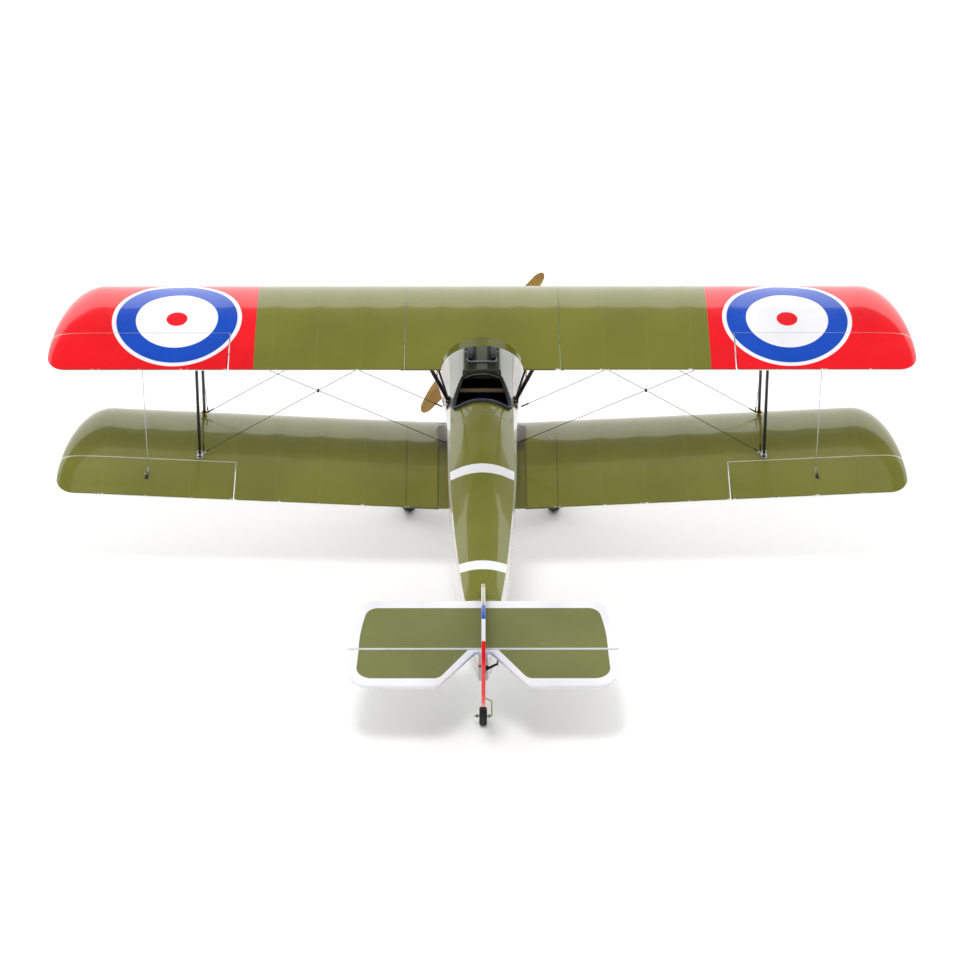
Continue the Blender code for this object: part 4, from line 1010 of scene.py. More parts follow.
def pushrod(bm, start, end, radius=0.0014, clevis=0.016):
    """Wire with a forked clevis and lock nut at each end."""
    start, end = Vector(start), Vector(end)
    bar(bm, start, end, radius, 8)
    way = (end - start).normalized()
    for point, sign in ((start, 1), (end, -1)):
        near = point + sign * 0.002 * way
        far = point + sign * clevis * way
        tube(bm, (near, near + sign * 0.001 * way, far - sign * 0.004 * way, far),
             [1.5 * radius, 2.0 * radius, 1.9 * radius, 1.3 * radius], 10)
        bar(bm, far + sign * 0.001 * way, far + sign * 0.003 * way, 2.1 * radius, 6, 1)


# ------------------------------------------------------------ struts and wires

def upper_skin(fraction, clearance):
    return UPPER_LE_Y - fraction * CHORD, UPPER_Z + surface_z(fraction, False) - clearance


def lower_skin(x, fraction, clearance):
    return (LOWER_LE_Y - fraction * CHORD,
            LOWER_Z + abs(x) * tan(DIHEDRAL) + surface_z(fraction) / cos(DIHEDRAL) + clearance)


def streamlined(bm, foot, top, width, depth, number=0):
    """Strut with a blunt nose, a thin tail and tapered ends."""
    foot, top = Vector(foot), Vector(top)
    rings = []
    for share, size in ((0.0, 0.55), (0.015, 0.8), (0.05, 1.0), (0.5, 1.0), (0.95, 1.0), (0.985, 0.8),
                        (1.0, 0.55)):
        centre = foot.lerp(top, share)
        ring = []
        for along, s in circle(18):
            narrow = s * (1.0 if along > 0 else (1 + 0.35 * along))
            ring.append(centre + Vector((0.5 * width * size * narrow, 0.5 * depth * size * along, 0.0)))
        rings.append(ring)
    skin(bm, rings, number=number)


def strut_fitting(bm, x, y, z, up, number):
    """Base plate, two cheeks and a cross bolt where a strut meets a wing."""
    block(bm, (x - 0.0075, y - 0.011, z), (x + 0.0075, y + 0.011, z + up * 0.0014), 0.0004, number)
    for cheek in (x - 0.0042, x + 0.0042):
        block(bm, (cheek - 0.0006, y - 0.0045, z + up * 0.0008), (cheek + 0.0006, y + 0.0045, z + up * 0.014),
              0.0003, number)
    bolt_z = z + up * 0.01
    bar(bm, (x - 0.0075, y, bolt_z), (x + 0.0075, y, bolt_z), 0.0017, 10, number)
    for sign in (-1, 1):
        bar(bm, (x + sign * 0.005, y, bolt_z), (x + sign * 0.0072, y, bolt_z), 0.0031, 6, number)


CABANE_FOOT = (0.0858, -0.329, 0.0725)
CABANE_TOP_X = 0.168


def build_struts():
    for side, name in SIDES:
        x = side * STRUT_X
        for which, fraction, metal in (("front", FRONT_SPAR, "brass"), ("rear", REAR_SPAR, "bright")):
            top_y, top_z = upper_skin(fraction, 0.0)
            foot_y, foot_z = lower_skin(STRUT_X, fraction, 0.0)
            bm = bmesh.new()
            streamlined(bm, (x, foot_y, foot_z + 0.0035), (x, top_y, top_z - 0.003), 0.0082, 0.018)
            strut_fitting(bm, x, foot_y, foot_z - 0.0003, 1, 1)
            strut_fitting(bm, x, top_y, top_z + 0.0003, -1, 1)
            if which == "rear":
                bar(bm, (x - side * 0.006, foot_y, foot_z + 0.009),
                    (x - side * 0.017, foot_y, foot_z + 0.013), 0.0026, 10, 1)
            piece("strut_%s_%s" % (which, name), bm, "black_metal " + metal, "airframe",
                  "interplane_strut_%s_%s" % (which, name), slot="black_strut")

        x, y, z = CABANE_FOOT
        foot = Vector((side * x, y, z))
        rear = Vector((side * CABANE_TOP_X, *upper_skin(REAR_SPAR, 0.002)))
        front = Vector((side * CABANE_TOP_X, *upper_skin(FRONT_SPAR, 0.0025)))
        bm = bmesh.new()
        streamlined(bm, foot, rear, 0.0112, 0.015)
        streamlined(bm, foot + Vector((0, 0.004, 0.001)), front, 0.006, 0.01)
        block(bm, foot - Vector((0.0058, 0.011, 0.004)), foot + Vector((0.0058, 0.013, 0.002)))
        ear = ((0.0838, 0.0695), (0.0858, 0.0695), (0.091, 0.048), (0.0892, 0.048))
        skin(bm, [[(side * x, y, z) for x, z in ear] for y in (-0.338, -0.318)])
        bar(bm, foot + Vector((-0.0078, 0.002, 0.0025)), foot + Vector((0.0078, 0.002, 0.0025)), 0.003, 12)
        for sign in (-1, 1):
            y = 0.001 + sign * 0.0085
            bar(bm, foot + Vector((0, y, 0.001)), foot + Vector((0, y, 0.004)), 0.0022, 6, 1)
        for top in (rear, front):
            strut_fitting(bm, top.x, top.y, top.z + 0.002, -1, 0)
        piece("cabane_strut_" + name, bm, "black_metal steel", "airframe",
              "cabane_" + name, slot="black_strut")
        build_bracing(side, name)


def wire_end(bm, start, way, number=1):
    """Turnbuckle and loop at the end of a wire."""
    start, way = Vector(start), Vector(way).normalized()
    profile = [0.001, 0.0018, 0.0019, 0.0019, 0.0018, 0.001]
    spots = [start + d * way for d in (0.004, 0.0055, 0.01, 0.016, 0.0205, 0.022)]
    tube(bm, spots, profile, 8, number)
    bar(bm, start - 0.001 * way, start + 0.005 * way, 0.0016, 8, number)


def wire(bm, start, end, radius):
    bar(bm, start, end, radius, 8)
    wire_end(bm, start, end - start)
    wire_end(bm, end, start - end)


def build_bracing(side, name):
    """Flying and landing wires, their acorns, and the incidence wires between the two struts."""
    for which, fraction, root in (("front", FRONT_SPAR, 0.1012), ("rear", REAR_SPAR, 0.0925)):
        top_y, top_z = upper_skin(fraction, 0.008)
        foot_y, foot_z = lower_skin(STRUT_X, fraction, 0.008)
        slope = (top_y - foot_y) / (top_z - foot_z)
        root_z = -0.016 if which == "front" else 0.002
        outer = STRUT_X - 0.006
        flying = (Vector((side * root, top_y + slope * (root_z - top_z), root_z)),
                  Vector((side * outer, top_y, top_z)))
        landing = (Vector((side * 0.18, top_y, top_z)), Vector((side * outer, foot_y, foot_z)))
        bm = bmesh.new()
        for start, end in (flying, landing):
            wire(bm, start, end, 0.00085)
        bar(bm, flying[0], flying[0].lerp(flying[1], 0.028), 0.0021, 8, 1)
        a, b = flying
        c, d = landing
        run = (b.x - a.x) * (d.z - c.z) - (b.z - a.z) * (d.x - c.x)
        crossing = a.lerp(b, ((c.x - a.x) * (d.z - c.z) - (c.z - a.z) * (d.x - c.x)) / run)
        acorn = [(-0.009, 0.0), (-0.0075, 0.0012), (-0.005, 0.0024), (0.0, 0.0032), (0.005, 0.0024),
                 (0.0075, 0.0012), (0.009, 0.0)]
        turned(bm, acorn, crossing, (0, 1, 0), 14, 1)
        piece("wires_%s_%s" % (which, name), bm, "wire black_metal", "airframe",
              "bracing_%s_%s" % (which, name), slot="steel_wire")

    bm = bmesh.new()
    corners = []
    for fraction in (FRONT_SPAR, REAR_SPAR):
        top_y, top_z = upper_skin(fraction, 0.01)
        foot_y, foot_z = lower_skin(STRUT_X, fraction, 0.01)
        x = side * (STRUT_X - 0.0095)
        corners.append((Vector((x, foot_y, foot_z)), Vector((x, top_y, top_z))))
    for start, end in ((corners[0][0], corners[1][1]), (corners[1][0], corners[0][1])):
        wire(bm, start, end, 0.0007)
    for foot, top in corners:
        for spot in (foot, top):
            bar(bm, spot + Vector((side * 0.0085, 0, 0)), spot - Vector((side * 0.0015, 0, 0)), 0.0019, 8, 1)
    piece("incidence_wires_" + name, bm, "wire black_metal", "airframe", slot="steel_wire")


# ------------------------------------------------------------ fuselage and hatch

# y, side half width, deck half width, shoulder z, deck edge z, deck crown z
STATIONS = (
    (-0.27, 0.096, 0.0785, 0.04, 0.068, 0.107),
    (-0.34, 0.0908, 0.0789, 0.042, 0.07, 0.108),
    (-0.43, 0.0872, 0.079, 0.045, 0.072, 0.108),
    (-0.62, 0.0838, 0.0785, 0.052, 0.073, 0.1005),
    (-0.8, 0.073, 0.07, 0.058, 0.074, 0.094),
    (-0.98, 0.0585, 0.055, 0.064, 0.075, 0.0875),
    (-1.09, 0.046, 0.0425, 0.068, 0.0765, 0.0835),
    (-1.18, 0.033, 0.03, 0.071, 0.0765, 0.08),
    (-1.2615, 0.011, 0.01, 0.073, 0.0765, 0.078),
)
FIREWALL_Y = -0.13
NOSE_RADIUS = 0.115
BELLY_Z = -0.116
BELLY_RISE = 0.1155
BELLY_CORNER = 0.014
LEAN = 0.97                     # width at the belly over width at the shoulder
DECK_RIDGES = (0.0, 0.3, 0.6, 1.0)  # stringers under the decking, as shares of its half width
HATCH_FRONT_Y = -0.152
HATCH_REAR_Y = -0.429
HATCH_HALF = 0.0785
HATCH_Z = 0.05
BAY_HALF = 0.072
BAY_FLOOR_Z = -0.084
RAIL_Z = 0.0395                 # top of the rails along the bay
DECK, SIDE, LINER, STUB = 0, 1, 2, 3


def station(y):
    """Widths and heights of the fuselage at y, as smooth curves through the stations."""
    if y >= STATIONS[0][0]:
        return STATIONS[0][1:]
    k = next((i for i in range(len(STATIONS) - 1) if y >= STATIONS[i + 1][0]), len(STATIONS) - 2)
    rows = [STATIONS[max(0, k - 1)], STATIONS[k], STATIONS[k + 1], STATIONS[min(len(STATIONS) - 1, k + 2)]]
    span = rows[2][0] - rows[1][0]
    t = (y - rows[1][0]) / span
    result = []
    for column in range(1, 6):
        before, here, there, after = (row[column] for row in rows)
        start = (there - before) / (rows[2][0] - rows[0][0]) * span
        end = (after - here) / (rows[3][0] - rows[1][0]) * span
        result.append((2 * t ** 3 - 3 * t ** 2 + 1) * here + (t ** 3 - 2 * t ** 2 + t) * start
                      + (3 * t ** 2 - 2 * t ** 3) * there + (t ** 3 - t ** 2) * end)
    return result


def deck_height(share, edge, crown):
    """Decking: nearly flat strips between the stringers, on a parabola."""
    def arch(s):
        return edge + (crown - edge) * (1 - s * s)
    for a, b in zip(DECK_RIDGES, DECK_RIDGES[1:]):
        if a <= share <= b:
            flat = arch(a) + (share - a) / (b - a) * (arch(b) - arch(a))
            return 0.6 * flat + 0.4 * arch(share)
    return edge


DECK_STEPS = 20


def half_section(y):
    """Right half of a cross-section from the crown to the belly, as (x, z)."""
    wide, deck, shoulder, edge, crown = station(y)
    bottom = BELLY_Z + max(0.0, -0.43 - y) * BELLY_RISE
    corner = BELLY_CORNER * wide / 0.1
    points = [(deck * k / DECK_STEPS, deck_height(k / DECK_STEPS, edge, crown))
              for k in range(DECK_STEPS + 1)]
    for w in (0.25, 0.5, 0.75, 1.0):
        points.append((deck + w * (wide - deck), edge + w * (shoulder - edge)))
    for w in (0.25, 0.5, 0.75, 1.0):
        points.append((wide * (1 - 0.01 * w), shoulder + w * (0.6 * bottom - shoulder)))
    low = LEAN * wide
    points.append((low, bottom + 1.3 * corner))
    for k in range(5):
        a = 0.5 * pi * k / 4
        points.append((low - corner + corner * cos(a), bottom + corner - corner * sin(a)))
    points.append((0.5 * (low - corner), bottom))
    points.append((0.0, bottom))
    if y > STATIONS[0][0]:
        share = (FIREWALL_Y - y) / (FIREWALL_Y - STATIONS[0][0])
        share = share * share * (3 - 2 * share)
        round_nose = [atan2(x, z) for x, z in points]
        points = [((1 - share) * NOSE_RADIUS * sin(a) + share * x,
                   (1 - share) * NOSE_RADIUS * cos(a) + share * z)
                  for a, (x, z) in zip(round_nose, points)]
    return points


def fuselage_solid():
    """The whole outer shape as one closed body, with deck and side faces numbered."""
    bm = bmesh.new()
    stops = [FIREWALL_Y - 0.14 * k / 9 for k in range(9)]
    stops += [STATIONS[0][0] + (STATIONS[-1][0] - STATIONS[0][0]) * k / 38 for k in range(39)]
    levels = []
    for y in stops:
        half = half_section(y)
        ring = [(x, y, z) for x, z in half] + [(-x, y, z) for x, z in reversed(half[1:-1])]
        levels.append([bm.verts.new(p) for p in ring])
    count = len(levels[0])
    for here, there in zip(levels, levels[1:]):
        for k in range(count):
            n = (k + 1) % count
            face = bm.faces.new((here[k], here[n], there[n], there[k]))
            face.material_index = DECK if k < DECK_STEPS or k >= count - DECK_STEPS else SIDE
    for end in (levels[0], levels[-1]):
        bm.faces.new(end).material_index = SIDE
    return bm


def wing_stub():
    """Root fairing that carries the lower wing across the fuselage."""
    plane_z = LOWER_Z + LOWER_ROOT_X * tan(DIHEDRAL)
    le_y = LOWER_LE_Y
    bm = bmesh.new()
    rings = []
    for x in (-0.1086, -0.095, 0.095, 0.1086):
        ring = []
        for sign, order in ((1, range(24, -1, -1)), (-1, range(1, 25))):
            for i in order:
                t = 0.5 * (1 - cos(pi * i / 24))
                ring.append((x, le_y - t * CHORD, plane_z + CHORD * (camber(t) + sign * half_thickness(t))))
        rings.append(ring)
    skin(bm, rings, number=SIDE)
    bmesh.ops.recalc_face_normals(bm, faces=bm.faces)
    for face in bm.faces:
        if face.normal.z > 0.02:
            face.material_index = STUB
    return bm


def build_fuselage():
    body = boolean(fuselage_solid(), wing_stub(), 'UNION')
    bay = (BAY_HALF, BAY_FLOOR_Z, 0.2, (-0.157, -0.2, -0.24, -0.28, -0.34, -0.424))
    wells = (1.0, BAY_FLOOR_Z + 0.012, 0.04, (-0.272, -0.3, -0.34, -0.38, -0.4235))
    for widest, low, high, stops in (bay, wells):
        hollow = bmesh.new()
        rings = []
        for y in stops:
            half = min(widest, LEAN * station(y)[0] - 0.004)
            rings.append([(-half, y, low), (half, y, low), (half, y, high), (-half, y, high)])
        skin(hollow, rings, number=LINER)
        body = boolean(body, hollow)
    body = boolean(body, plain_box((-HATCH_HALF - GAP, HATCH_REAR_Y - 0.0016, HATCH_Z - GAP),
                                   (HATCH_HALF + GAP, HATCH_FRONT_Y + GAP, 0.2), LINER))
    body = boolean(body, plain_box((-0.2, -1.3, 0.0707), (0.2, TAIL_LE_Y + GAP, 0.2), SIDE))
    body = boolean(body, plain_box((0.0215, -1.095, 0.0225), (0.08, -1.045, 0.0315), LINER))
    piece("fuselage_cover", body, "deck side liner stub", "airframe", "fuselage",
          slot="cream_film", angle=28)

    bm = bmesh.new()
    block(bm, (-0.076, -0.252, 0.035), (0.076, -0.245, 0.0435), 0.0008, 1)
    for side in (-1, 1):
        block(bm, (side * 0.07, -0.424, RAIL_Z - 0.007), (side * 0.0745, -0.157, RAIL_Z), 0.0005)
        for y in (-0.205, -0.33, -0.4):
            block(bm, (side * 0.069, y - 0.003, BAY_FLOOR_Z), (side * 0.0735, y + 0.003, 0.033), 0.0005)
    piece("bay_framing", bm, "ply spruce", "airframe", slot="plywood")

    bm = bmesh.new()
    rng = random.Random(7)
    centre = Vector((0.052, -0.352, 0.02))
    work = bmesh.new()
    bmesh.ops.create_icosphere(work, subdivisions=4, radius=0.017)
    shift = Vector([rng.uniform(-5, 5) for _ in range(3)])
    for vert in work.verts:
        fold = abs(noise.noise(vert.co * 95 + shift)) * 0.01 + noise.noise(vert.co * 210 + shift) * 0.003
        squeezed = Vector((vert.co.x * 0.9, vert.co.y * 1.5, vert.co.z * 0.75))
        vert.co = centre + squeezed * (1 - fold / 0.017 * 0.8)
    absorb(bm, work)
    for k in range(3):
        path = []
        for i in range(13):
            w = i / 12
            path.append(Vector((0.05 - 0.03 * w + 0.004 * sin(3 * w + k), -0.35 + 0.01 * k * w,
                                0.012 - 0.08 * w + 0.012 * sin(pi * w))))
        tube(bm, path, 0.0011, 6, 1 + k % 2)
    piece("foam_and_leads", bm, "foam lead_red rubber", "airframe", slot="black_plastic")


COCKPIT_FRONT_Y = -0.269
COCKPIT_REAR_Y = -0.3775
COCKPIT_FRONT_HALF = 0.0475
COCKPIT_REAR_HALF = 0.066


def cockpit_loop(grow, per=5):
    """Smooth plan of the cockpit opening, moved outwards by grow."""
    right = [(share * COCKPIT_FRONT_HALF, COCKPIT_FRONT_Y + grow) for share in (0.3, 0.7, 0.93)]
    right.append((COCKPIT_FRONT_HALF + 0.6 * grow, COCKPIT_FRONT_Y - 0.0015 + 0.6 * grow))
    for k in range(1, 6):
        t = k / 6
        half = COCKPIT_FRONT_HALF + (COCKPIT_REAR_HALF - COCKPIT_FRONT_HALF) * sin(0.5 * pi * t)
        right.append((half + grow, COCKPIT_FRONT_Y + t * (COCKPIT_REAR_Y - COCKPIT_FRONT_Y)))
    right.append((COCKPIT_REAR_HALF + 0.8 * grow, COCKPIT_REAR_Y + 0.004 - 0.5 * grow))
    right += [(share * COCKPIT_REAR_HALF, COCKPIT_REAR_Y - grow) for share in (0.88, 0.55, 0.2)]
    return smooth_loop(right + [(-x, y) for x, y in reversed(right)], per)


def skin_height(x, y):
    """Height of the decking at a point of the hatch."""
    _, deck, _, edge, crown = station(y)
    return deck_height(min(1.0, abs(x) / deck), edge, crown)


def build_hatch():
    reach = plain_box((-HATCH_HALF, HATCH_REAR_Y, HATCH_Z), (HATCH_HALF, HATCH_FRONT_Y, 0.2), SIDE)
    lid = boolean(fuselage_solid(), reach, 'INTERSECT')
    hollow = bmesh.new()
    rings = []
    for y, crown in ((-0.42, 0.098), (-0.36, 0.1015), (-0.255, 0.101), (-0.1612, 0.1)):
        half = BAY_HALF - 0.002
        ring = [(-half, y, 0.03), (-half, y, 0.0605)]
        for k in range(-7, 8):
            ring.append((half * k / 7.5, y, 0.0605 + (crown - 0.0605) * (1 - (k / 7.5) ** 2)))
        rings.append(ring + [(half, y, 0.0605), (half, y, 0.03)])
    skin(hollow, rings, number=LINER)
    lid = boolean(lid, hollow)
    hole = bmesh.new()
    skin(hole, [[(p.x, p.y, z) for p in cockpit_loop(0.0)] for z in (0.0, 0.2)], number=LINER)
    lid = boolean(lid, hole)
    piece("hatch_cover", lid, "deck side liner", "hatch", "cockpit_hatch",
          slot="hatch_skin", angle=28)

    bm = bmesh.new()
    rings = []
    half, corner = 0.049, 0.0065
    for y, top in ((-0.263, 0.114), (-0.2622, 0.116), (-0.255, 0.118), (-0.23, 0.124),
                   (-0.195, 0.128), (-0.1575, 0.128), (-0.1565, 0.1265)):
        ring = [(-half, y, 0.088), (-half, y, top - corner)]
        for k in range(1, 6):
            a = 0.5 * pi * k / 6
            ring.append((-half + corner * (1 - cos(a)), y, top - corner * (1 - sin(a))))
        ring.append((-half + corner, y, top))
        ring += [(-x, y, z) for x, y, z in reversed(ring)]
        rings.append(ring)
    skin(bm, rings)
    for side in (-1, 1):
        x = side * 0.0155
        block(bm, (x - 0.0006, -0.256, 0.117), (x + 0.0006, -0.16, 0.129), 0.0003, 1)
    for x in (-0.042, -0.014, 0.014, 0.042):
        bar(bm, (x, -0.2626, 0.106), (x, -0.264, 0.106), 0.0016, 10, 2)
    piece("gun_hump", bm, "hump black_metal steel", "hatch", slot="hatch_skin")

    bm = bmesh.new()
    loop = cockpit_loop(0.0048, 12)
    path, radii = [], []
    run = 0.0
    for k, p in enumerate(loop):
        run += (p - loop[k - 1]).length
        pucker = 0.5 + 0.5 * cos(2 * pi * run / 0.0095)
        rear = min(1.0, max(0.0, (COCKPIT_FRONT_Y - 0.012 - p.y) / 0.06))
        radii.append((0.0031 + 0.0016 * rear) * (1 - 0.1 * pucker))
        path.append(Vector((p.x, p.y, skin_height(p.x, p.y) + 0.0026 + 0.0016 * rear)))
    tube(bm, path, radii, 14, joined=True)
    step = 12
    for k in range(0, len(loop), step):
        p, q = loop[k], loop[(k + 1) % len(loop)]
        out = (q - p).normalized()
        out = Vector((out.y, -out.x))
        if out.dot(p - Vector((0, -0.325))) < 0:
            out = -out
        here = path[k]
        radius = radii[k] + 0.0003
        wrap = []
        for i in range(9):
            a = pi * (0.02 + 0.96 * i / 8)
            wrap.append(here + radius * (cos(a) * Vector((out.x, out.y, 0))
                                         + sin(a) * Vector((0, 0, 1))))
        tube(bm, wrap, 0.0005, 6, 1)
    piece("coaming_pad", bm, "pad lace", "hatch", "cockpit_coaming", slot="coaming_pad", angle=60)

    bm = bmesh.new()
    for x, y in ((-0.07, -0.16), (0.07, -0.16), (-0.0735, -0.418), (0.0735, -0.418), (0.0, -0.421)):
        z = skin_height(x, y) + (0.0015 if y > -0.2 else 0.0)
        bar(bm, (x, y, z - 0.002), (x, y, z + 0.001), 0.0024, 12)
        bar(bm, (x, y, z + 0.0004), (x, y, z + 0.0013), 0.001, 6, 1)
    piece("hatch_screws", bm, "steel black_metal", "hatch", slot="hatch_skin")


GUN_X = 0.03
BORE_Z = 0.14


def build_guns():
    for side, name in SIDES:
        x = side * GUN_X
        bm = bmesh.new()
        block(bm, (x - 0.0072, -0.252, 0.1287), (x + 0.0072, -0.198, 0.145), 0.0008)
        block(bm, (x - 0.006, -0.251, 0.144), (x + 0.006, -0.199, 0.1497), 0.0012, 1)
        block(bm, (x - 0.003, -0.248, 0.149), (x + 0.003, -0.238, 0.1508), 0.0006)
        bar(bm, (x + side * 0.007, -0.218, 0.139), (x + side * 0.0115, -0.218, 0.139), 0.0018, 8, 2)
        lug = x - side * 0.0072
        block(bm, (lug - 0.0028, -0.23, 0.129), (lug + 0.0028, -0.21, BORE_Z))
        jacket = [(0.0, 0.0), (0.0, 0.008)]
        for k in range(9):
            start = 0.004 + 0.0072 * k
            jacket += [(start, 0.0083), (start + 0.0015, 0.0072), (start + 0.005, 0.0072),
                       (start + 0.0062, 0.0083)]
        jacket += [(0.072, 0.008), (0.0735, 0.006), (0.0735, 0.0)]
        turned(bm, jacket, (x, -0.199, BORE_Z), (0, 1, 0), 20)
        muzzle = [(0.0, 0.0), (0.0, 0.0034), (0.007, 0.0034), (0.0085, 0.0044), (0.0098, 0.0044),
                  (0.0098, 0.0024), (0.005, 0.0024), (0.005, 0.0)]
        turned(bm, muzzle, (x, -0.126, BORE_Z), (0, 1, 0), 16)
        block(bm, (x - 0.0014, -0.134, 0.147), (x + 0.0014, -0.131, 0.1525), 0.0004)
        piece("gun_detail_" + name, bm, "gun slate steel", "hatch", "gun_" + name,
              slot="gun_black")
    bm = bmesh.new()
    path = []
    for side in (-1, 1):
        arm = [Vector((side * 0.0362, y, BORE_Z)) for y in (-0.244, -0.252)]
        for k in range(1, 6):
            a = 0.5 * pi * k / 5
            arm.append(Vector((side * (0.0302 + 0.006 * cos(a)), -0.252 - 0.007 * sin(a), BORE_Z)))
        path += arm if side < 0 else list(reversed(arm))
    tube(bm, path, 0.0021, 10)
    lower = [p + Vector((0, -0.0022, -0.0034)) for p in path]
    tube(bm, lower, 0.0019, 8, 1)
    for side in (-1, 1):
        bar(bm, (side * 0.0362, -0.2475, 0.128), (side * 0.0362, -0.2475, BORE_Z), 0.0018, 8, 1)
    piece("gun_rail", bm, "pale_blue gun", "hatch", slot="gun_black")


# ------------------------------------------------------------ tail

def flat_place(x, y, height):
    return (x, y, TAIL_MID_Z + height)


def upright_place(y, z, height):
    return (height, y, z)


def bezier(t, start, corner, end):
    return (1 - t) ** 2 * start + 2 * t * (1 - t) * corner + t ** 2 * end


def arc(centre, radii, start, end, count):
    points = []
    for k in range(count + 1):
        a = radians(start + (end - start) * k / count)
        points.append((centre[0] + radii[0] * cos(a), centre[1] + radii[1] * sin(a)))
    return points


TAIL_ARM_X = -0.0465
ELEVATOR_DROP = 0.028
RUDDER_SERVO = Vector((0.028, -1.07, 0.027))
RUDDER_REACH = 0.032


def build_tail():
    right = arc((0.248, TAIL_LE_Y - 0.033), (0.038, 0.033), 90, 0, 10)
    right += [(0.2935, -1.16), (0.301, -1.19), (0.3068, -1.225), (0.311, TAIL_HINGE_Y + GAP)]
    bm = bmesh.new()
    outline = mirrored(right)
    slab(bm, outline, TAIL_HALF_THICK, flat_place)
    piece("tailplane_cover", bm, "tail", "airframe", "tailplane", slot="olive_film", angle=40)

    right = [(0.311, TAIL_HINGE_Y - GAP)]
    right += arc((0.259, -1.325), (0.0515, 0.06), 0, -90, 12)
    right += [(0.118, -1.385), (0.11, -1.3842), (0.103, -1.3818), (0.096, -1.3765)]
    right += [(0.023, -1.279), (0.019, -1.2745), (0.014, -1.2722)]
    bm = bmesh.new()
    outline = mirrored(right)
    slab(bm, outline, TAIL_HALF_THICK, flat_place, {len(outline) - 1}, TAIL_HALF_THICK * tan(BEVEL))
    piece("elevator_cover", bm, "tail", "elevator", "elevator", slot="olive_film", angle=40)

    hinge = Vector((0.0, TAIL_HINGE_Y, TAIL_MID_Z))     # middle of the elevator's hinge line
    pin = hinge + Vector((0, 0, -ELEVATOR_DROP))
    x = TAIL_ARM_X - 0.0062
    bm = bmesh.new()
    low = TAIL_MID_Z - TAIL_HALF_THICK
    outline = [(-1.268, TAIL_MID_Z), (-1.2655, low - 0.002), (pin.y + 0.003, pin.z + 0.001)]
    outline += [(pin.y + 0.003 * cos(a), pin.z - 0.003 * sin(a))
                for a in (0.6, 1.1, 1.57, 2.05, 2.55)]
    outline += [(pin.y - 0.0035, pin.z + 0.001), (-1.29, low - 0.002), (-1.29, TAIL_MID_Z)]
    plate(bm, outline, x - 0.001, x + 0.001)
    block(bm, (x - 0.004, -1.292, low - 0.0022), (x + 0.004, -1.267, low + 0.0005), 0.0004)
    bar(bm, (x - 0.002, pin.y, pin.z), (x + 0.005, pin.y, pin.z), 0.0011, 8, 1)
    piece("elevator_horn", bm, "plastic steel", "elevator", slot="black_plastic")

    outline = [(-1.06, 0.0868)]
    for k in range(1, 15):
        outline.append(tuple(bezier(k / 14, *corners) for corners in (FIN_CURVE_Y, FIN_CURVE_Z)))
    top = TAIL_MID_Z + TAIL_HALF_THICK + GAP
    front, rear = TAIL_LE_Y - GAP, TAIL_HINGE_Y + GAP
    outline += [(rear, FIN_CURVE_Z[2]), (rear, top), (front, top), (front, 0.085)]
    bm = bmesh.new()
    slab(bm, outline, FIN_HALF_THICK, upright_place)
    piece("fin_cover", bm, "fin", "airframe", "fin", slot="olive_film", angle=40)

    outline = [(TAIL_HINGE_Y - GAP, 0.215)]
    for k in range(31):
        a = pi * (0.5 - k / 30)
        semi = 0.13 if a > 0 else 0.1145
        outline.append((-1.3 - 0.113 * cos(a), 0.09 + semi * sin(a)))
    outline.append((TAIL_HINGE_Y - GAP, -0.02))
    bm = bmesh.new()
    bevel = FIN_HALF_THICK * tan(radians(34))
    slab(bm, outline, FIN_HALF_THICK, upright_place, {len(outline) - 1}, bevel)
    bm = boolean(bm, plain_box((-0.02, TAIL_HINGE_Y - 0.0185, TAIL_MID_Z - 0.013),
                               (0.02, TAIL_HINGE_Y + 0.01, TAIL_MID_Z + 0.013)))
    piece("rudder_cover", bm, "rudder", "rudder", "rudder", slot="rudder_film", angle=40)

    bm = bmesh.new()
    pin = Vector((RUDDER_REACH, TAIL_HINGE_Y, RUDDER_SERVO.z + 0.0062))
    outline = [(0.0, -1.2715), (0.014, -1.2705), (pin.x, pin.y + 0.003), (pin.x + 0.0026, pin.y + 0.0015),
               (pin.x + 0.003, pin.y), (pin.x + 0.0026, pin.y - 0.0015), (pin.x, pin.y - 0.003),
               (0.014, -1.279), (0.004, -1.286), (0.0, -1.286)]
    skin(bm, [[(x, y, pin.z + h) for x, y in outline] for h in (-0.001, 0.001)])
    block(bm, (0.004, -1.288, pin.z - 0.004), (0.0066, -1.27, pin.z + 0.004), 0.0004)
    bar(bm, (pin.x, pin.y, pin.z - 0.005), (pin.x, pin.y, pin.z + 0.002), 0.0011, 8, 1)
    piece("rudder_horn", bm, "plastic steel", "rudder", slot="black_plastic")

    bm = bmesh.new()
    y = TAIL_HINGE_Y + 0.0035
    for z in (0.04, 0.115, 0.195):
        block(bm, (-0.0012, y - 0.003, z - 0.008), (0.0012, y + 0.002, z + 0.008), 0.0003)
    piece("rudder_hinges", bm, "plastic", "airframe", slot="black_plastic")

    axis = Vector((TAIL_ARM_X, -1.15, 0.039))
    drop = Vector((0, 0, -ELEVATOR_DROP))
    end = hinge + drop + Vector((TAIL_ARM_X, 0, 0))
    drive("elevator", ((-0.03, -1.16, 0.029), (-0.002, -1.124, 0.049)), axis, axis + drop, end,
          (1, 0, 0), Vector((-0.0032, 0, 0)), boss=((-0.029, -1.15, 0.039), (-0.0444, -1.15, 0.039)))
    axis = RUDDER_SERVO
    reach = Vector((RUDDER_REACH, 0, 0))
    end = Vector((0.0, TAIL_HINGE_Y, axis.z)) + reach
    drive("rudder", ((0.018, -1.09, -0.012), (0.038, -1.052, 0.02)), axis, axis + reach, end,
          (0, 0, 1), Vector((0, 0, 0.0032)), boss=((axis.x, axis.y, 0.018), (axis.x, axis.y, 0.025)))


TAILWHEEL = Vector((0.0, -1.3, -0.0955))


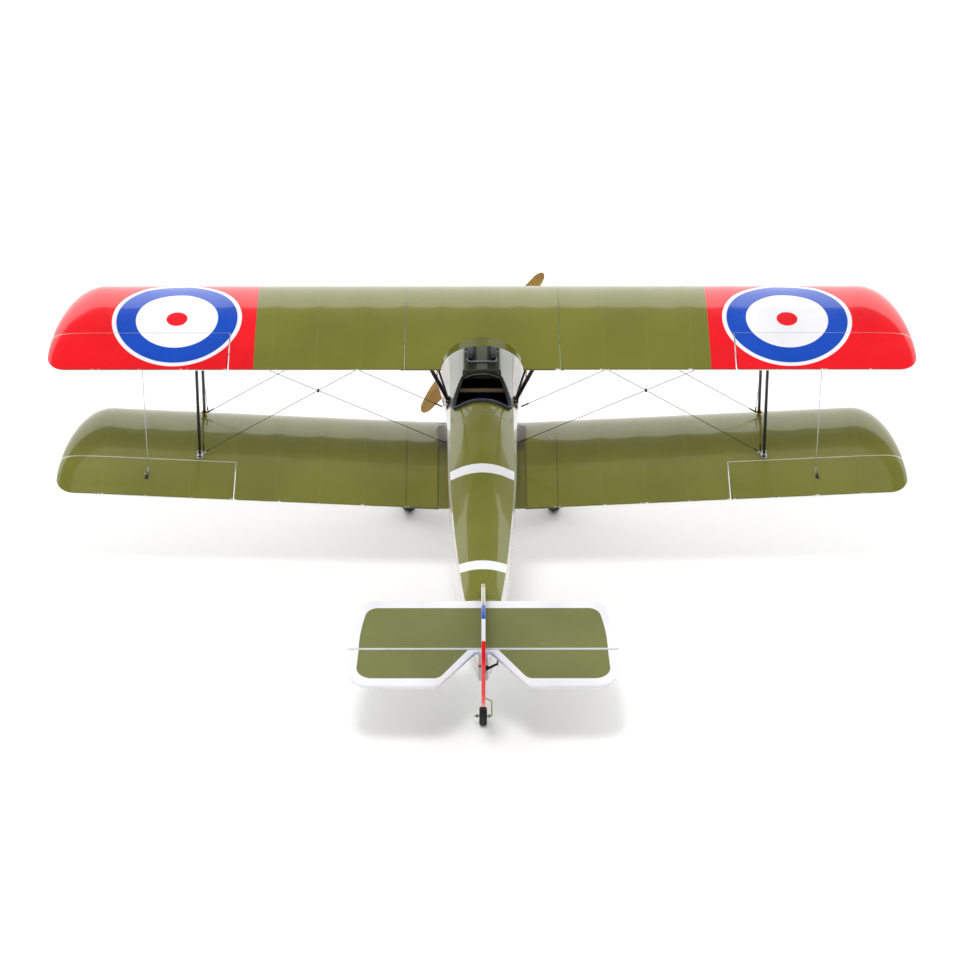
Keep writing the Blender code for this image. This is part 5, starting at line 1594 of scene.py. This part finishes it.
def build_tailwheel():
    top = -0.025
    corners = [Vector((x, TAILWHEEL.y, z)) for x, z in (
        (0.0, top - 0.002), (0.0, top - 0.012), (0.02, top - 0.022), (0.02, TAILWHEEL.z),
        (-0.021, TAILWHEEL.z))]
    path = [corners[0]]
    for before, here, after in zip(corners, corners[1:], corners[2:]):
        start = here + 0.003 * (before - here).normalized()
        end = here + 0.003 * (after - here).normalized()
        path += [bezier(i / 5, start, here, end) for i in range(6)]
    path.append(corners[-1])
    bm = bmesh.new()
    tube(bm, path, 0.0017, 12)
    block(bm, (-0.0045, TAILWHEEL.y - 0.01, top - 0.003), (0.0045, TAILWHEEL.y + 0.01, top), 0.0005)
    for x in (-0.0145, 0.0145):
        collar = mirrored([(-0.0025, 0.0), (-0.0025, 0.004), (-0.0019, 0.0044)])
        turned(bm, collar, (x, TAILWHEEL.y, TAILWHEEL.z), (1, 0, 0), 16, 1)
        bar(bm, (x, TAILWHEEL.y, TAILWHEEL.z - 0.003), (x, TAILWHEEL.y, TAILWHEEL.z - 0.0062), 0.0011, 6, 1)
    piece("tailwheel_fork", bm, "brass steel", "rudder", "tailwheel_bracket", slot="brass_wire")
    bm = bmesh.new()
    tyre = mirrored([(-0.0085, 0.0023), (-0.0085, 0.011), (-0.007, 0.013), (-0.009, 0.015),
                     (-0.0088, 0.0185), (-0.0062, 0.0212), (-0.0025, 0.0223)])
    turned(bm, tyre, TAILWHEEL, (1, 0, 0), 40)
    piece("tailwheel_tyre", bm, "rubber", "tailwheel", "tailwheel", slot="tyre_rubber", angle=30)


# ------------------------------------------------------------ undercarriage

WHEEL = Vector((0.19, -0.19, -0.3))
LEG_X = 0.156                   # the two struts of a leg meet here, beside the wheel
LEG_TOPS = ((0.08, -0.17), (0.074, -0.33))


def build_undercarriage():
    for side, name in SIDES:
        hub = Vector((side * LEG_X, WHEEL.y, WHEEL.z))
        bm = bmesh.new()
        (front_x, front_y), (rear_x, rear_y) = LEG_TOPS
        streamlined(bm, hub, (side * front_x, front_y, BELLY_Z - 0.0012), 0.0105, 0.0175)
        rear = (side * rear_x, rear_y, BELLY_Z - 0.0012)
        streamlined(bm, hub + Vector((0, -0.004, 0)), rear, 0.0095, 0.0155)
        for x, y in LEG_TOPS:
            strut_fitting(bm, side * x, y, BELLY_Z + 0.0004, -1, 1)
        block(bm, (side * 0.148, WHEEL.y - 0.0125, WHEEL.z - 0.0115),
              (side * 0.164, WHEEL.y + 0.0125, WHEEL.z + 0.0125), 0.0025)
        for k in range(7):
            x = side * LEG_X + (k - 3) * 0.0021
            ring = [(x, WHEEL.y + 0.0142 * c, WHEEL.z + 0.0004 + 0.0134 * s) for c, s in circle(24)]
            tube(bm, ring, 0.0011, 6, 2, joined=True)
        piece("undercarriage_leg_" + name, bm, "black_metal steel cord", "airframe",
              "undercarriage_" + name, slot="black_strut")
        build_wheel(side, name)
    bm = bmesh.new()
    bar(bm, (-0.218, WHEEL.y, WHEEL.z), (0.218, WHEEL.y, WHEEL.z), 0.0045, 20)
    rings = []
    for share in (-1.0, -0.985, -0.95, 0.0, 0.95, 0.985, 1.0):
        size = 1.0 if abs(share) < 0.96 else (0.85 if abs(share) < 0.99 else 0.55)
        ring = []
        for c, s in circle(18):
            thin = 0.0065 * s * (1.0 if c > 0 else 1 + 0.45 * c)
            ring.append((share * 0.144, WHEEL.y + 0.014 * size * c, WHEEL.z + size * thin))
        rings.append(ring)
    skin(bm, rings)
    for side in (-1, 1):
        x = side * 0.213
        collar = mirrored([(-0.003, 0.0), (-0.003, 0.0072), (-0.0022, 0.008)])
        turned(bm, collar, (x, WHEEL.y, WHEEL.z), (1, 0, 0), 20, 1)
        bar(bm, (x, WHEEL.y, WHEEL.z - 0.006), (x, WHEEL.y, WHEEL.z - 0.0098), 0.0015, 6, 1)
    piece("axle_fairing", bm, "black_metal steel", "airframe", "axle", slot="black_strut")


def build_wheel(side, name):
    centre = Vector((side * WHEEL.x, WHEEL.y, WHEEL.z))
    bm = bmesh.new()
    half = [(-0.01, 0.07), (-0.015, 0.0722), (-0.016, 0.076), (-0.0152, 0.08), (-0.013, 0.0835),
            (-0.0092, 0.0861), (-0.006, 0.087), (-0.0052, 0.0862), (-0.0044, 0.0862), (-0.0036, 0.0874),
            (-0.001, 0.08745)]
    tyre = half + [(0.0, 0.0865)] + [(-x, r) for x, r in reversed(half)]
    turned(bm, tyre, centre, (1, 0, 0), 72)
    piece("tyre_" + name, bm, "rubber", "wheel_" + name, "wheel_tyre_" + name, slot="tyre_rubber", angle=30)

    bm = bmesh.new()
    cover = mirrored([(-0.019, 0.0054), (-0.019, 0.011), (-0.0186, 0.0118), (-0.0155, 0.028),
                      (-0.0128, 0.045), (-0.0108, 0.06), (-0.0104, 0.0655), (-0.011, 0.0672),
                      (-0.0104, 0.069), (-0.008, 0.0696)])
    turned(bm, cover, centre, (1, 0, 0), 64)
    for sign in (-1, 1):
        turned(bm, [(0.0, 0.0054), (0.0, 0.0125), (0.001, 0.0125), (0.0018, 0.0112), (0.0018, 0.0054)],
               centre + Vector((sign * 0.0186, 0, 0)), (sign, 0, 0), 28, 1)
        for c, s in circle(24, 0.5):
            spot = Vector((0, c, s))
            near = centre + 0.067 * spot + Vector((sign * 0.0102, 0, 0))
            bar(bm, near, near + Vector((sign * 0.0012, 0, 0)), 0.0007, 6, 1)
        valve = centre + Vector((sign * 0.012, 0.034, 0.034))
        bar(bm, valve, valve + Vector((sign * 0.0012, 0, 0)), 0.0032, 16, 2)
    piece("wheel_cover_" + name, bm, "wheel_cover steel black_metal", "wheel_" + name,
          "wheel_hub_" + name, slot="wheel_cover", angle=30)


# ------------------------------------------------------------ nose

PROP_RADIUS = 0.277
PROP_PITCH = 0.254
PROP_PARKED = radians(35.4)


def spokes(count, turn=0.0):
    """Directions out from the engine's axis."""
    return [Vector((s, 0, c)) for c, s in circle(count, turn)]


def build_nose():
    bm = bmesh.new()
    cowl = [(-0.1295, 0.1163), (-0.129, 0.1165), (-0.06, 0.1165), (-0.052, 0.1163), (-0.044, 0.1148),
            (-0.036, 0.1118), (-0.029, 0.107), (-0.024, 0.1008), (-0.0212, 0.094), (-0.0201, 0.0885),
            (-0.0204, 0.084), (-0.0222, 0.0808), (-0.024, 0.0801), (-0.0256, 0.0815), (-0.0262, 0.085),
            (-0.0272, 0.09), (-0.0305, 0.0985), (-0.035, 0.104), (-0.041, 0.1085), (-0.049, 0.1115),
            (-0.058, 0.113), (-0.129, 0.1132), (-0.1295, 0.1134)]
    turned(bm, cowl, (0, 0, 0), (0, 1, 0), 96)
    for out in spokes(12, 0.5):
        spot = Vector((0, -0.1225, 0)) + 0.1162 * out
        bar(bm, spot - 0.001 * out, spot + 0.0009 * out, 0.0026, 12, 1)
    band = [(-0.1275, 0.116), (-0.1275, 0.1168), (-0.1268, 0.1171), (-0.1182, 0.1171), (-0.1175, 0.1168),
            (-0.1175, 0.116)]
    turned(bm, band, (0, 0, 0), (0, 1, 0), 96)
    piece("cowl_shell", bm, "cowl steel", "airframe", "engine_cowl", slot="cowl_paint", angle=30)

    bm = bmesh.new()
    crankcase = [(-0.095, 0.028), (-0.095, 0.04), (-0.072, 0.04), (-0.07, 0.0385),
                 (-0.069, 0.035), (-0.068, 0.033), (-0.068, 0.028)]
    turned(bm, crankcase, (0, 0, 0), (0, 1, 0), 54)
    for out in spokes(9, 0.25):
        middle = Vector((0.0, -0.0815, 0.0))
        barrel = [(0.033, 0.0), (0.033, 0.01)]
        for i in range(14):
            start = 0.04 + 0.0036 * i
            reach = 0.0114 - (0.0012 if i == 0 else 0.0)
            barrel += [(start, 0.0086), (start + 0.0003, reach), (start + 0.0016, reach),
                       (start + 0.0019, 0.0086)]
        barrel += [(0.0918, 0.0086), (0.0925, 0.0105), (0.0975, 0.01), (0.1, 0.007), (0.1, 0.0)]
        turned(bm, barrel, middle, out, 20)
        side = out.cross(Vector((0, 1, 0)))
        for sign in (-1, 1):
            foot = middle + 0.037 * out + 0.005 * sign * side + Vector((0, 0.012, 0))
            bar(bm, foot, foot + 0.06 * out, 0.0012, 8, 1)
            bar(bm, foot + 0.059 * out, foot + 0.06 * out + Vector((0, -0.012, 0)), 0.0016, 8, 1)
        spark = middle + 0.09 * out
        bar(bm, spark, spark + Vector((0, 0.0165, 0)), 0.0018, 8, 2)
        bar(bm, spark + Vector((0, 0.016, 0)), Vector((0, -0.07, 0)) + 0.034 * out, 0.0007, 6, 3)
        bar(bm, Vector((0, -0.069, 0)) + 0.036 * out, Vector((0, -0.0672, 0)) + 0.036 * out, 0.0018, 6, 1)
    piece("radial_engine", bm, "engine steel ceramic lead_red", "airframe",
          "dummy_engine", slot="black_metal", angle=30)

    bm = bmesh.new()
    base = [(-0.129, 0.0), (-0.129, 0.03), (-0.1262, 0.03), (-0.125, 0.029), (-0.125, 0.024),
            (-0.1062, 0.024), (-0.106, 0.0235), (-0.106, 0.0)]
    turned(bm, base, (0, 0, 0), (0, 1, 0), 48)
    for c, s in circle(4, 0.5):
        spot = Vector((0.0265 * s, -0.1252, 0.0265 * c))
        bar(bm, spot, spot + Vector((0, 0.0022, 0)), 0.0022, 10, 1)
    for k in range(3):
        spot = Vector((0.012 * (k - 1), -0.1262, -0.025))
        bar(bm, spot, spot + Vector((0, 0.012, -0.0035)), 0.0019, 8, 2)
    piece("motor_base", bm, "motor steel lead_red", "airframe", "motor", slot="motor_metal")

    bm = bmesh.new()
    can = [(-0.105, 0.0), (-0.105, 0.0243), (-0.104, 0.025), (-0.09, 0.025), (-0.0895, 0.0245),
           (-0.088, 0.0245), (-0.0875, 0.025), (-0.062, 0.025), (-0.056, 0.0248), (-0.052, 0.0225),
           (-0.049, 0.0185), (-0.042, 0.0135), (-0.04, 0.012), (-0.0112, 0.012), (-0.011, 0.0118),
           (-0.011, 0.004), (0.011, 0.004), (0.011, 0.0095), (0.0122, 0.0098), (0.0168, 0.0098),
           (0.017, 0.008), (0.019, 0.007), (0.021, 0.0048), (0.0215, 0.0022), (0.0215, 0.0)]
    turned(bm, can, (0, 0, 0), (0, 1, 0), 48)
    for out in spokes(8):
        near, far = Vector((0, -0.058, 0)), Vector((0, -0.0488, 0))
        bar(bm, near + 0.017 * out, far + 0.015 * out, 0.0026, 10, 1)
    for c, s in circle(6, 0.5):
        spot = Vector((0.0072 * s, 0.0168, 0.0072 * c))
        bar(bm, spot, spot + Vector((0, 0.0012, 0)), 0.001, 6, 1)
    piece("motor_bell", bm, "motor black_metal", "propeller", "motor_can", slot="motor_metal")

    propeller = bmesh.new()
    boss = mirrored([(-0.01, 0.0046), (-0.01, 0.015), (-0.0085, 0.018), (-0.006, 0.019)])
    turned(propeller, boss, (0, 0, 0), (0, 1, 0), 48)
    for direction in (1, -1):
        propeller = boolean(propeller, blade(direction), 'UNION')
    shaft = bmesh.new()
    tube(shaft, [(0, -0.03, 0), (0, 0.03, 0)], 0.0047, 24)
    propeller = boolean(propeller, shaft)
    piece("propeller_blades", propeller, "prop_wood", "propeller", "propeller", slot="varnished_wood",
          angle=45, matrix=Matrix.Rotation(PROP_PARKED, 4, 'Y'))


def blade_section(reach):
    chord = 0.02 + 0.0255 * sin(pi * min(1.0, reach * 0.98) ** 1.35)
    if reach > 0.93:
        chord *= sqrt(max(0.04, 1 - ((reach - 0.93) / 0.072) ** 2))
    return chord, 0.0105 * (1 - reach) + 0.0024, 0.007 * sin(pi * reach) - 0.004 * reach


def blade(direction):
    """One twisted, cambered blade."""
    bm = bmesh.new()
    rings = []
    stops = [0.03 + 0.87 * k / 22 for k in range(23)]
    stops += [0.9 + 0.098 * sin(0.5 * pi * k / 8) for k in range(1, 9)]
    for reach in stops:
        chord, thick, sweep = blade_section(reach)
        radius = reach * PROP_RADIUS
        twist = atan2(PROP_PITCH, 2 * pi * max(radius, 0.035))
        ring = []
        for c, s in circle(20):
            along = 0.5 * c * chord + sweep
            off = (0.62 if s > 0 else 0.27) * s * thick
            across = along * cos(twist) - off * sin(twist)
            forward = along * sin(twist) + off * cos(twist)
            ring.append((direction * across, forward, direction * radius))
        rings.append(ring)
    skin(bm, rings)
    return bm


# ------------------------------------------------------------ equipment in the bay

def build_equipment():
    floor = BAY_FLOOR_Z + GAP
    tray = bmesh.new()
    block(tray, (-0.04, -0.39, floor), (0.04, -0.165, floor + 0.004), 0.0005)
    for y in (-0.215, -0.265):
        for x in (-0.034, 0.034):
            slit = plain_box((x - 0.0022, y - 0.01, floor - 0.01), (x + 0.0022, y + 0.01, floor + 0.01))
            tray = boolean(tray, slit)
    for x in (-0.036, 0.036):
        for y in (-0.172, -0.383):
            bar(tray, (x, y, floor + 0.0035), (x, y, floor + 0.0052), 0.0026, 12, 1)
    piece("ply_tray", tray, "ply steel", "airframe", "equipment_tray", slot="plywood")

    deck = floor + 0.004 + GAP
    bm = bmesh.new()
    block(bm, (-0.0245, -0.3095, deck), (0.0245, -0.1705, deck + 0.0445), 0.0045)
    for y in (-0.215, -0.265):
        block(bm, (-0.0255, y - 0.009, deck - 0.0005), (0.0255, y + 0.009, deck + 0.0457), 0.003, 1)
        block(bm, (-0.006, y - 0.0095, deck + 0.045), (0.012, y + 0.0095, deck + 0.047), 0.0008, 1)
    for number, (x, bend) in ((2, (0.006, 0.01)), (1, (-0.004, -0.004))):
        path = []
        for i in range(15):
            w = i / 14
            path.append(Vector((x + bend * sin(pi * w), -0.308 - 0.016 * w,
                                deck + 0.03 - 0.019 * w * w)))
        tube(bm, path, 0.0022, 10, number)
    block(bm, (-0.006, -0.327, deck + 0.006), (0.01, -0.318, deck + 0.015), 0.0008, 3)
    piece("battery", bm, "battery rubber lead_red connector", "airframe",
          "battery_pack", slot="battery_wrap")

    bm = bmesh.new()
    block(bm, (-0.02, -0.385, deck), (0.005, -0.329, deck + 0.011), 0.0012)
    for k in range(9):
        y = -0.3815 + 0.0057 * k
        block(bm, (-0.018, y, deck + 0.01), (0.003, y + 0.0022, deck + 0.016), 0.0003, 1)
    piece("speed_control", bm, "plastic motor", "airframe", "speed_controller", slot="black_plastic")

    bm = bmesh.new()
    block(bm, (0.012, -0.378, deck), (0.035, -0.33, deck + 0.014), 0.0012)
    for k in range(6):
        x = 0.0145 + 0.0034 * k
        block(bm, (x, -0.3305, deck + 0.003), (x + 0.0024, -0.326, deck + 0.011), 0.0003, 1)
        path = []
        for i in range(9):
            w = i / 8
            arch = 0.006 * sin(pi * w)
            path.append(Vector((x + 0.0012 + 0.016 * w * w, -0.3262 + arch - 0.004 * w,
                                deck + 0.0075 - 0.004 * w + arch)))
        tube(bm, path, 0.0009, 6, 2 if k % 2 else 1)
    piece("radio_receiver", bm, "plastic black_metal lead_red", "airframe", "receiver",
          slot="black_plastic")


# ------------------------------------------------------------ finishes

def liner():
    """Wood inside the fuselage, near-black, with its grain showing faintly."""
    paint = Paint("bay_liner", roughness=0.55)
    grain = paint.noise(60.0, 4.0, 0.6, stretch=(1.0, 0.15, 1.0))
    grain_tone = paint.ramp(grain, 0.35, 0.7)
    paint.surface(paint.mix(grain_tone, (0.01, 0.01, 0.012), (0.03, 0.026, 0.022)), grain, 0.45, 0.7)
    paint.bump(grain, 0.0002)
    return paint.material


def padded_leather():
    """Black leathercloth with fine creases."""
    paint = Paint("coaming_leather", roughness=0.42, Sheen_Weight=0.15, Sheen_Roughness=0.4)
    cell = paint.add("ShaderNodeTexVoronoi", {"Vector": paint.place(), "Scale": 900.0},
                     feature='DISTANCE_TO_EDGE').outputs["Distance"]
    crease = paint.ramp(cell, 0.0, 0.12)
    cloud = paint.noise(30.0, 3.0)
    faded = paint.ramp(cloud, 0.3, 0.7)
    paint.surface(paint.mix(faded, (0.014, 0.016, 0.024), (0.035, 0.038, 0.05)), cloud, 0.34, 0.52)
    paint.bump(crease, 0.00015)
    paint.bump(paint.noise(160.0, 3.0), 0.0004)
    return paint.material


def braided(name, colour, scale=700.0):
    """Twisted or braided cord."""
    paint = Paint(name, colour, 0.75, Sheen_Weight=0.2)
    strands = paint.add("ShaderNodeTexWave", {"Vector": paint.place(), "Scale": scale, "Distortion": 2.0},
                     bands_direction='DIAGONAL').outputs["Fac"]
    paint.set("Base Color", paint.shade(paint.mix(0.0, colour, colour), 0.5, strands))
    paint.bump(strands, 0.0003)
    return paint.material


def stage_finish():
    paint = Paint("pale_floor", roughness=0.85)
    cloud = paint.noise(2.0, 3.0)
    paint.set("Base Color", paint.mix(cloud, (0.93, 0.93, 0.93), (0.96, 0.96, 0.96)))
    return paint.material


def make_finishes():
    FINISHES.update({
        "deck": glossy_film("deck_film", deck_colour),
        "side": glossy_film("side_film", side_colour),
        "liner": liner(),
        "stub": glossy_film("stub_film", stub_colour),
        "black_metal": worn_metal("black_enamel", (0.012, 0.013, 0.016), 0.3, 0.25,
                                  (0.16, 0.16, 0.17), 0.25),
        "steel": worn_metal("zinc_steel", (0.55, 0.56, 0.58), 0.3, 1.0, (0.35, 0.34, 0.32), 0.5),
        "wire": worn_metal("braided_wire", (0.085, 0.085, 0.09), 0.45, 0.8, (0.3, 0.3, 0.3), 0.4, 900.0),
        "bright": worn_metal("bright_metal", (0.82, 0.83, 0.85), 0.22, 1.0, (0.5, 0.5, 0.5), 0.3),
        "brass": worn_metal("brass", (0.62, 0.5, 0.2), 0.32, 1.0, (0.35, 0.3, 0.14), 0.5),
        "motor": worn_metal("anodised_metal", (0.42, 0.43, 0.46), 0.28, 1.0, (0.7, 0.7, 0.72), 0.3),
        "engine": worn_metal("engine_enamel", (0.03, 0.03, 0.032), 0.42, 0.5, (0.35, 0.34, 0.33), 0.55),
        "cowl": glossy_film("cowl_paint", plain(RED), 0.00004, 0.12),
        "wheel_cover": moulded("wheel_cover_paint", (0.74, 0.72, 0.64), 0.35),
        "plastic": moulded("black_nylon", (0.018, 0.018, 0.02), 0.48),
        "rubber": moulded("tyre_rubber", (0.018, 0.018, 0.019), 0.72, 500.0, 0.00015),
        "battery": moulded("battery_shrink", (0.03, 0.075, 0.42), 0.28, 90.0, 0.0006, Coat_Weight=0.4),
        "lead_red": moulded("red_silicone", (0.55, 0.012, 0.01), 0.45),
        "connector": moulded("yellow_nylon", (0.72, 0.52, 0.03), 0.45),
        "ceramic": moulded("white_ceramic", (0.78, 0.77, 0.72), 0.25),
        "foam": moulded("grey_foil_bag", (0.3, 0.3, 0.31), 0.38, 140.0, 0.0015, Metallic=0.5),
        "cord": braided("bungee_cord", (0.33, 0.29, 0.2)),
        "lace": braided("lacing", (0.05, 0.05, 0.06)),
        "pad": padded_leather(),
        "gun": worn_metal("gun_enamel", (0.014, 0.015, 0.02), 0.38, 0.4, (0.12, 0.12, 0.14), 0.3),
        "slate": worn_metal("slate_enamel", (0.06, 0.068, 0.09), 0.4, 0.3, (0.16, 0.17, 0.2), 0.35),
        "pale_blue": worn_metal("pale_rail", (0.32, 0.36, 0.46), 0.35, 0.3, (0.5, 0.52, 0.58), 0.3),
        "hump": glossy_film("hump_film", hump_colour, 0.00015, 0.22),
        "ply": wood("birch_ply", (0.52, 0.37, 0.19), (0.34, 0.22, 0.1), (1.0, 0.1, 1.0), 0.55, 0.0,
                    (2, 0.0013)),
        "spruce": wood("spruce_bar", (0.93, 0.74, 0.42), (0.8, 0.6, 0.3), (0.1, 1.0, 1.0), 0.5, 0.0),
        "prop_wood": wood("laminated_beech", (0.6, 0.385, 0.11), (0.42, 0.245, 0.058),
                          (0.14, 1.0, 0.14), 0.28, 0.6, (1, 0.0042)),
        "upper_top": glossy_film("upper_wing_film", upper_top_colour),
        "lower_top": glossy_film("lower_wing_film", lower_top_colour),
        "under": glossy_film("underside_film", underside_colour, 0.00022, 0.2),
        "end": glossy_film("hinge_face_film", end_colour, 0.0001, 0.35),
        "tail": glossy_film("tail_film", tail_colour, 0.0001, 0.22),
        "fin": glossy_film("fin_film", fin_colour, 0.0001, 0.22),
        "rudder": glossy_film("rudder_bands", rudder_colour, 0.0001, 0.18),
    })


# ------------------------------------------------------------ studio

CAMERA_PLACE = Vector((-0.02888, -6.48374, 4.90496))  # in the aircraft frame
CAMERA_DOWN = radians(39.6222)
CAMERA_YAW = 0.227 * pi / 180
CAMERA_ROLL = -0.1054 * pi / 180
CAMERA_LENS = 116.44
FLOOR_HALF = 22.0


def build_camera():
    level = cos(CAMERA_DOWN)
    forward = Vector((sin(CAMERA_YAW) * level, cos(CAMERA_YAW) * level, -sin(CAMERA_DOWN)))
    right = Vector((cos(CAMERA_YAW), -sin(CAMERA_YAW), 0))
    up = right.cross(forward)
    rolled_right = right * cos(CAMERA_ROLL) - up * sin(CAMERA_ROLL)
    rolled_up = right * sin(CAMERA_ROLL) + up * cos(CAMERA_ROLL)
    turn = Matrix((rolled_right, rolled_up, -forward)).transposed()
    data = bpy.data.cameras.new("camera")
    data.lens = CAMERA_LENS
    data.sensor_width = 36.0
    data.clip_start = 0.1
    data.clip_end = 200.0
    camera = add_object("camera", data)
    camera.matrix_world = AIR @ Matrix.Translation(CAMERA_PLACE) @ turn.to_4x4()
    bpy.context.scene.camera = camera


def build_floor():
    bm = bmesh.new()
    bmesh.ops.create_grid(bm, x_segments=8, y_segments=8, size=FLOOR_HALF)
    mesh = to_mesh(bm, "floor")
    mesh.materials.append(stage_finish())
    floor = add_object("floor", mesh)


FRONT_GLOW = 1.6                # radiance of the soft wall in front of the nose
DARK_CEILING = 0.16
GLOW_TOP = sin(radians(48.6))  # height at which the wall ends
SEEN_WALL = 0.95                # radiance of the wall where the camera looks at it


def build_world():
    """Soft white wall ahead of the model, a darker room above and behind it."""
    world = bpy.data.worlds.new("studio")
    world.use_nodes = True
    bpy.context.scene.world = world
    nodes = Nodes(world.node_tree)
    background = nodes.tree.nodes["Background"]
    way = nodes.add("ShaderNodeTexCoord").outputs["Generated"]
    _, ahead, up = nodes.add("ShaderNodeSeparateXYZ", {0: way}).outputs
    low = nodes.ramp(up, GLOW_TOP - 0.006, GLOW_TOP + 0.006, 1.0, 0.0, smooth=True)
    front = nodes.ramp(ahead, 0.05, 0.35, smooth=True)
    glow = nodes.times(nodes.times(low, front), FRONT_GLOW - DARK_CEILING)
    strength = nodes.plus(glow, DARK_CEILING)
    seen = nodes.add("ShaderNodeLightPath").outputs["Is Camera Ray"]
    lit = nodes.times(strength, nodes.minus(1.0, seen))
    shown = nodes.plus(lit, nodes.times(seen, SEEN_WALL))
    nodes.tree.links.new(shown, background.inputs["Strength"])
    background.inputs["Color"].default_value = (0.985, 0.99, 1.0, 1.0)


def add_light(name, place, target, size, power):
    data = bpy.data.lights.new(name, 'AREA')
    data.shape = 'DISK'
    data.size = size
    data.energy = power
    light = add_object(name, data)
    light.location = place
    light.rotation_euler = (Vector(target) - Vector(place)).to_track_quat('-Z', 'Y').to_euler()
    light.visible_glossy = False


def build_studio():
    build_camera()
    build_floor()
    build_world()
    add_light("overhead", (0.0, 0.0, 8.5), (0, 0, 0), 38.0, 2750.0)
    add_light("key", (-0.6, -3.0, 6.6), (0, -0.3, 0.4), 2.0, 190.0)
    bpy.context.scene.view_settings.view_transform = "Standard"


# ------------------------------------------------------------ the model

def build_model():
    make_finishes()
    build_wings()
    build_aileron_drives()
    build_struts()
    build_fuselage()
    build_hatch()
    build_guns()
    build_tail()
    build_tailwheel()
    build_undercarriage()
    build_nose()
    build_equipment()


build_model()
build_studio()
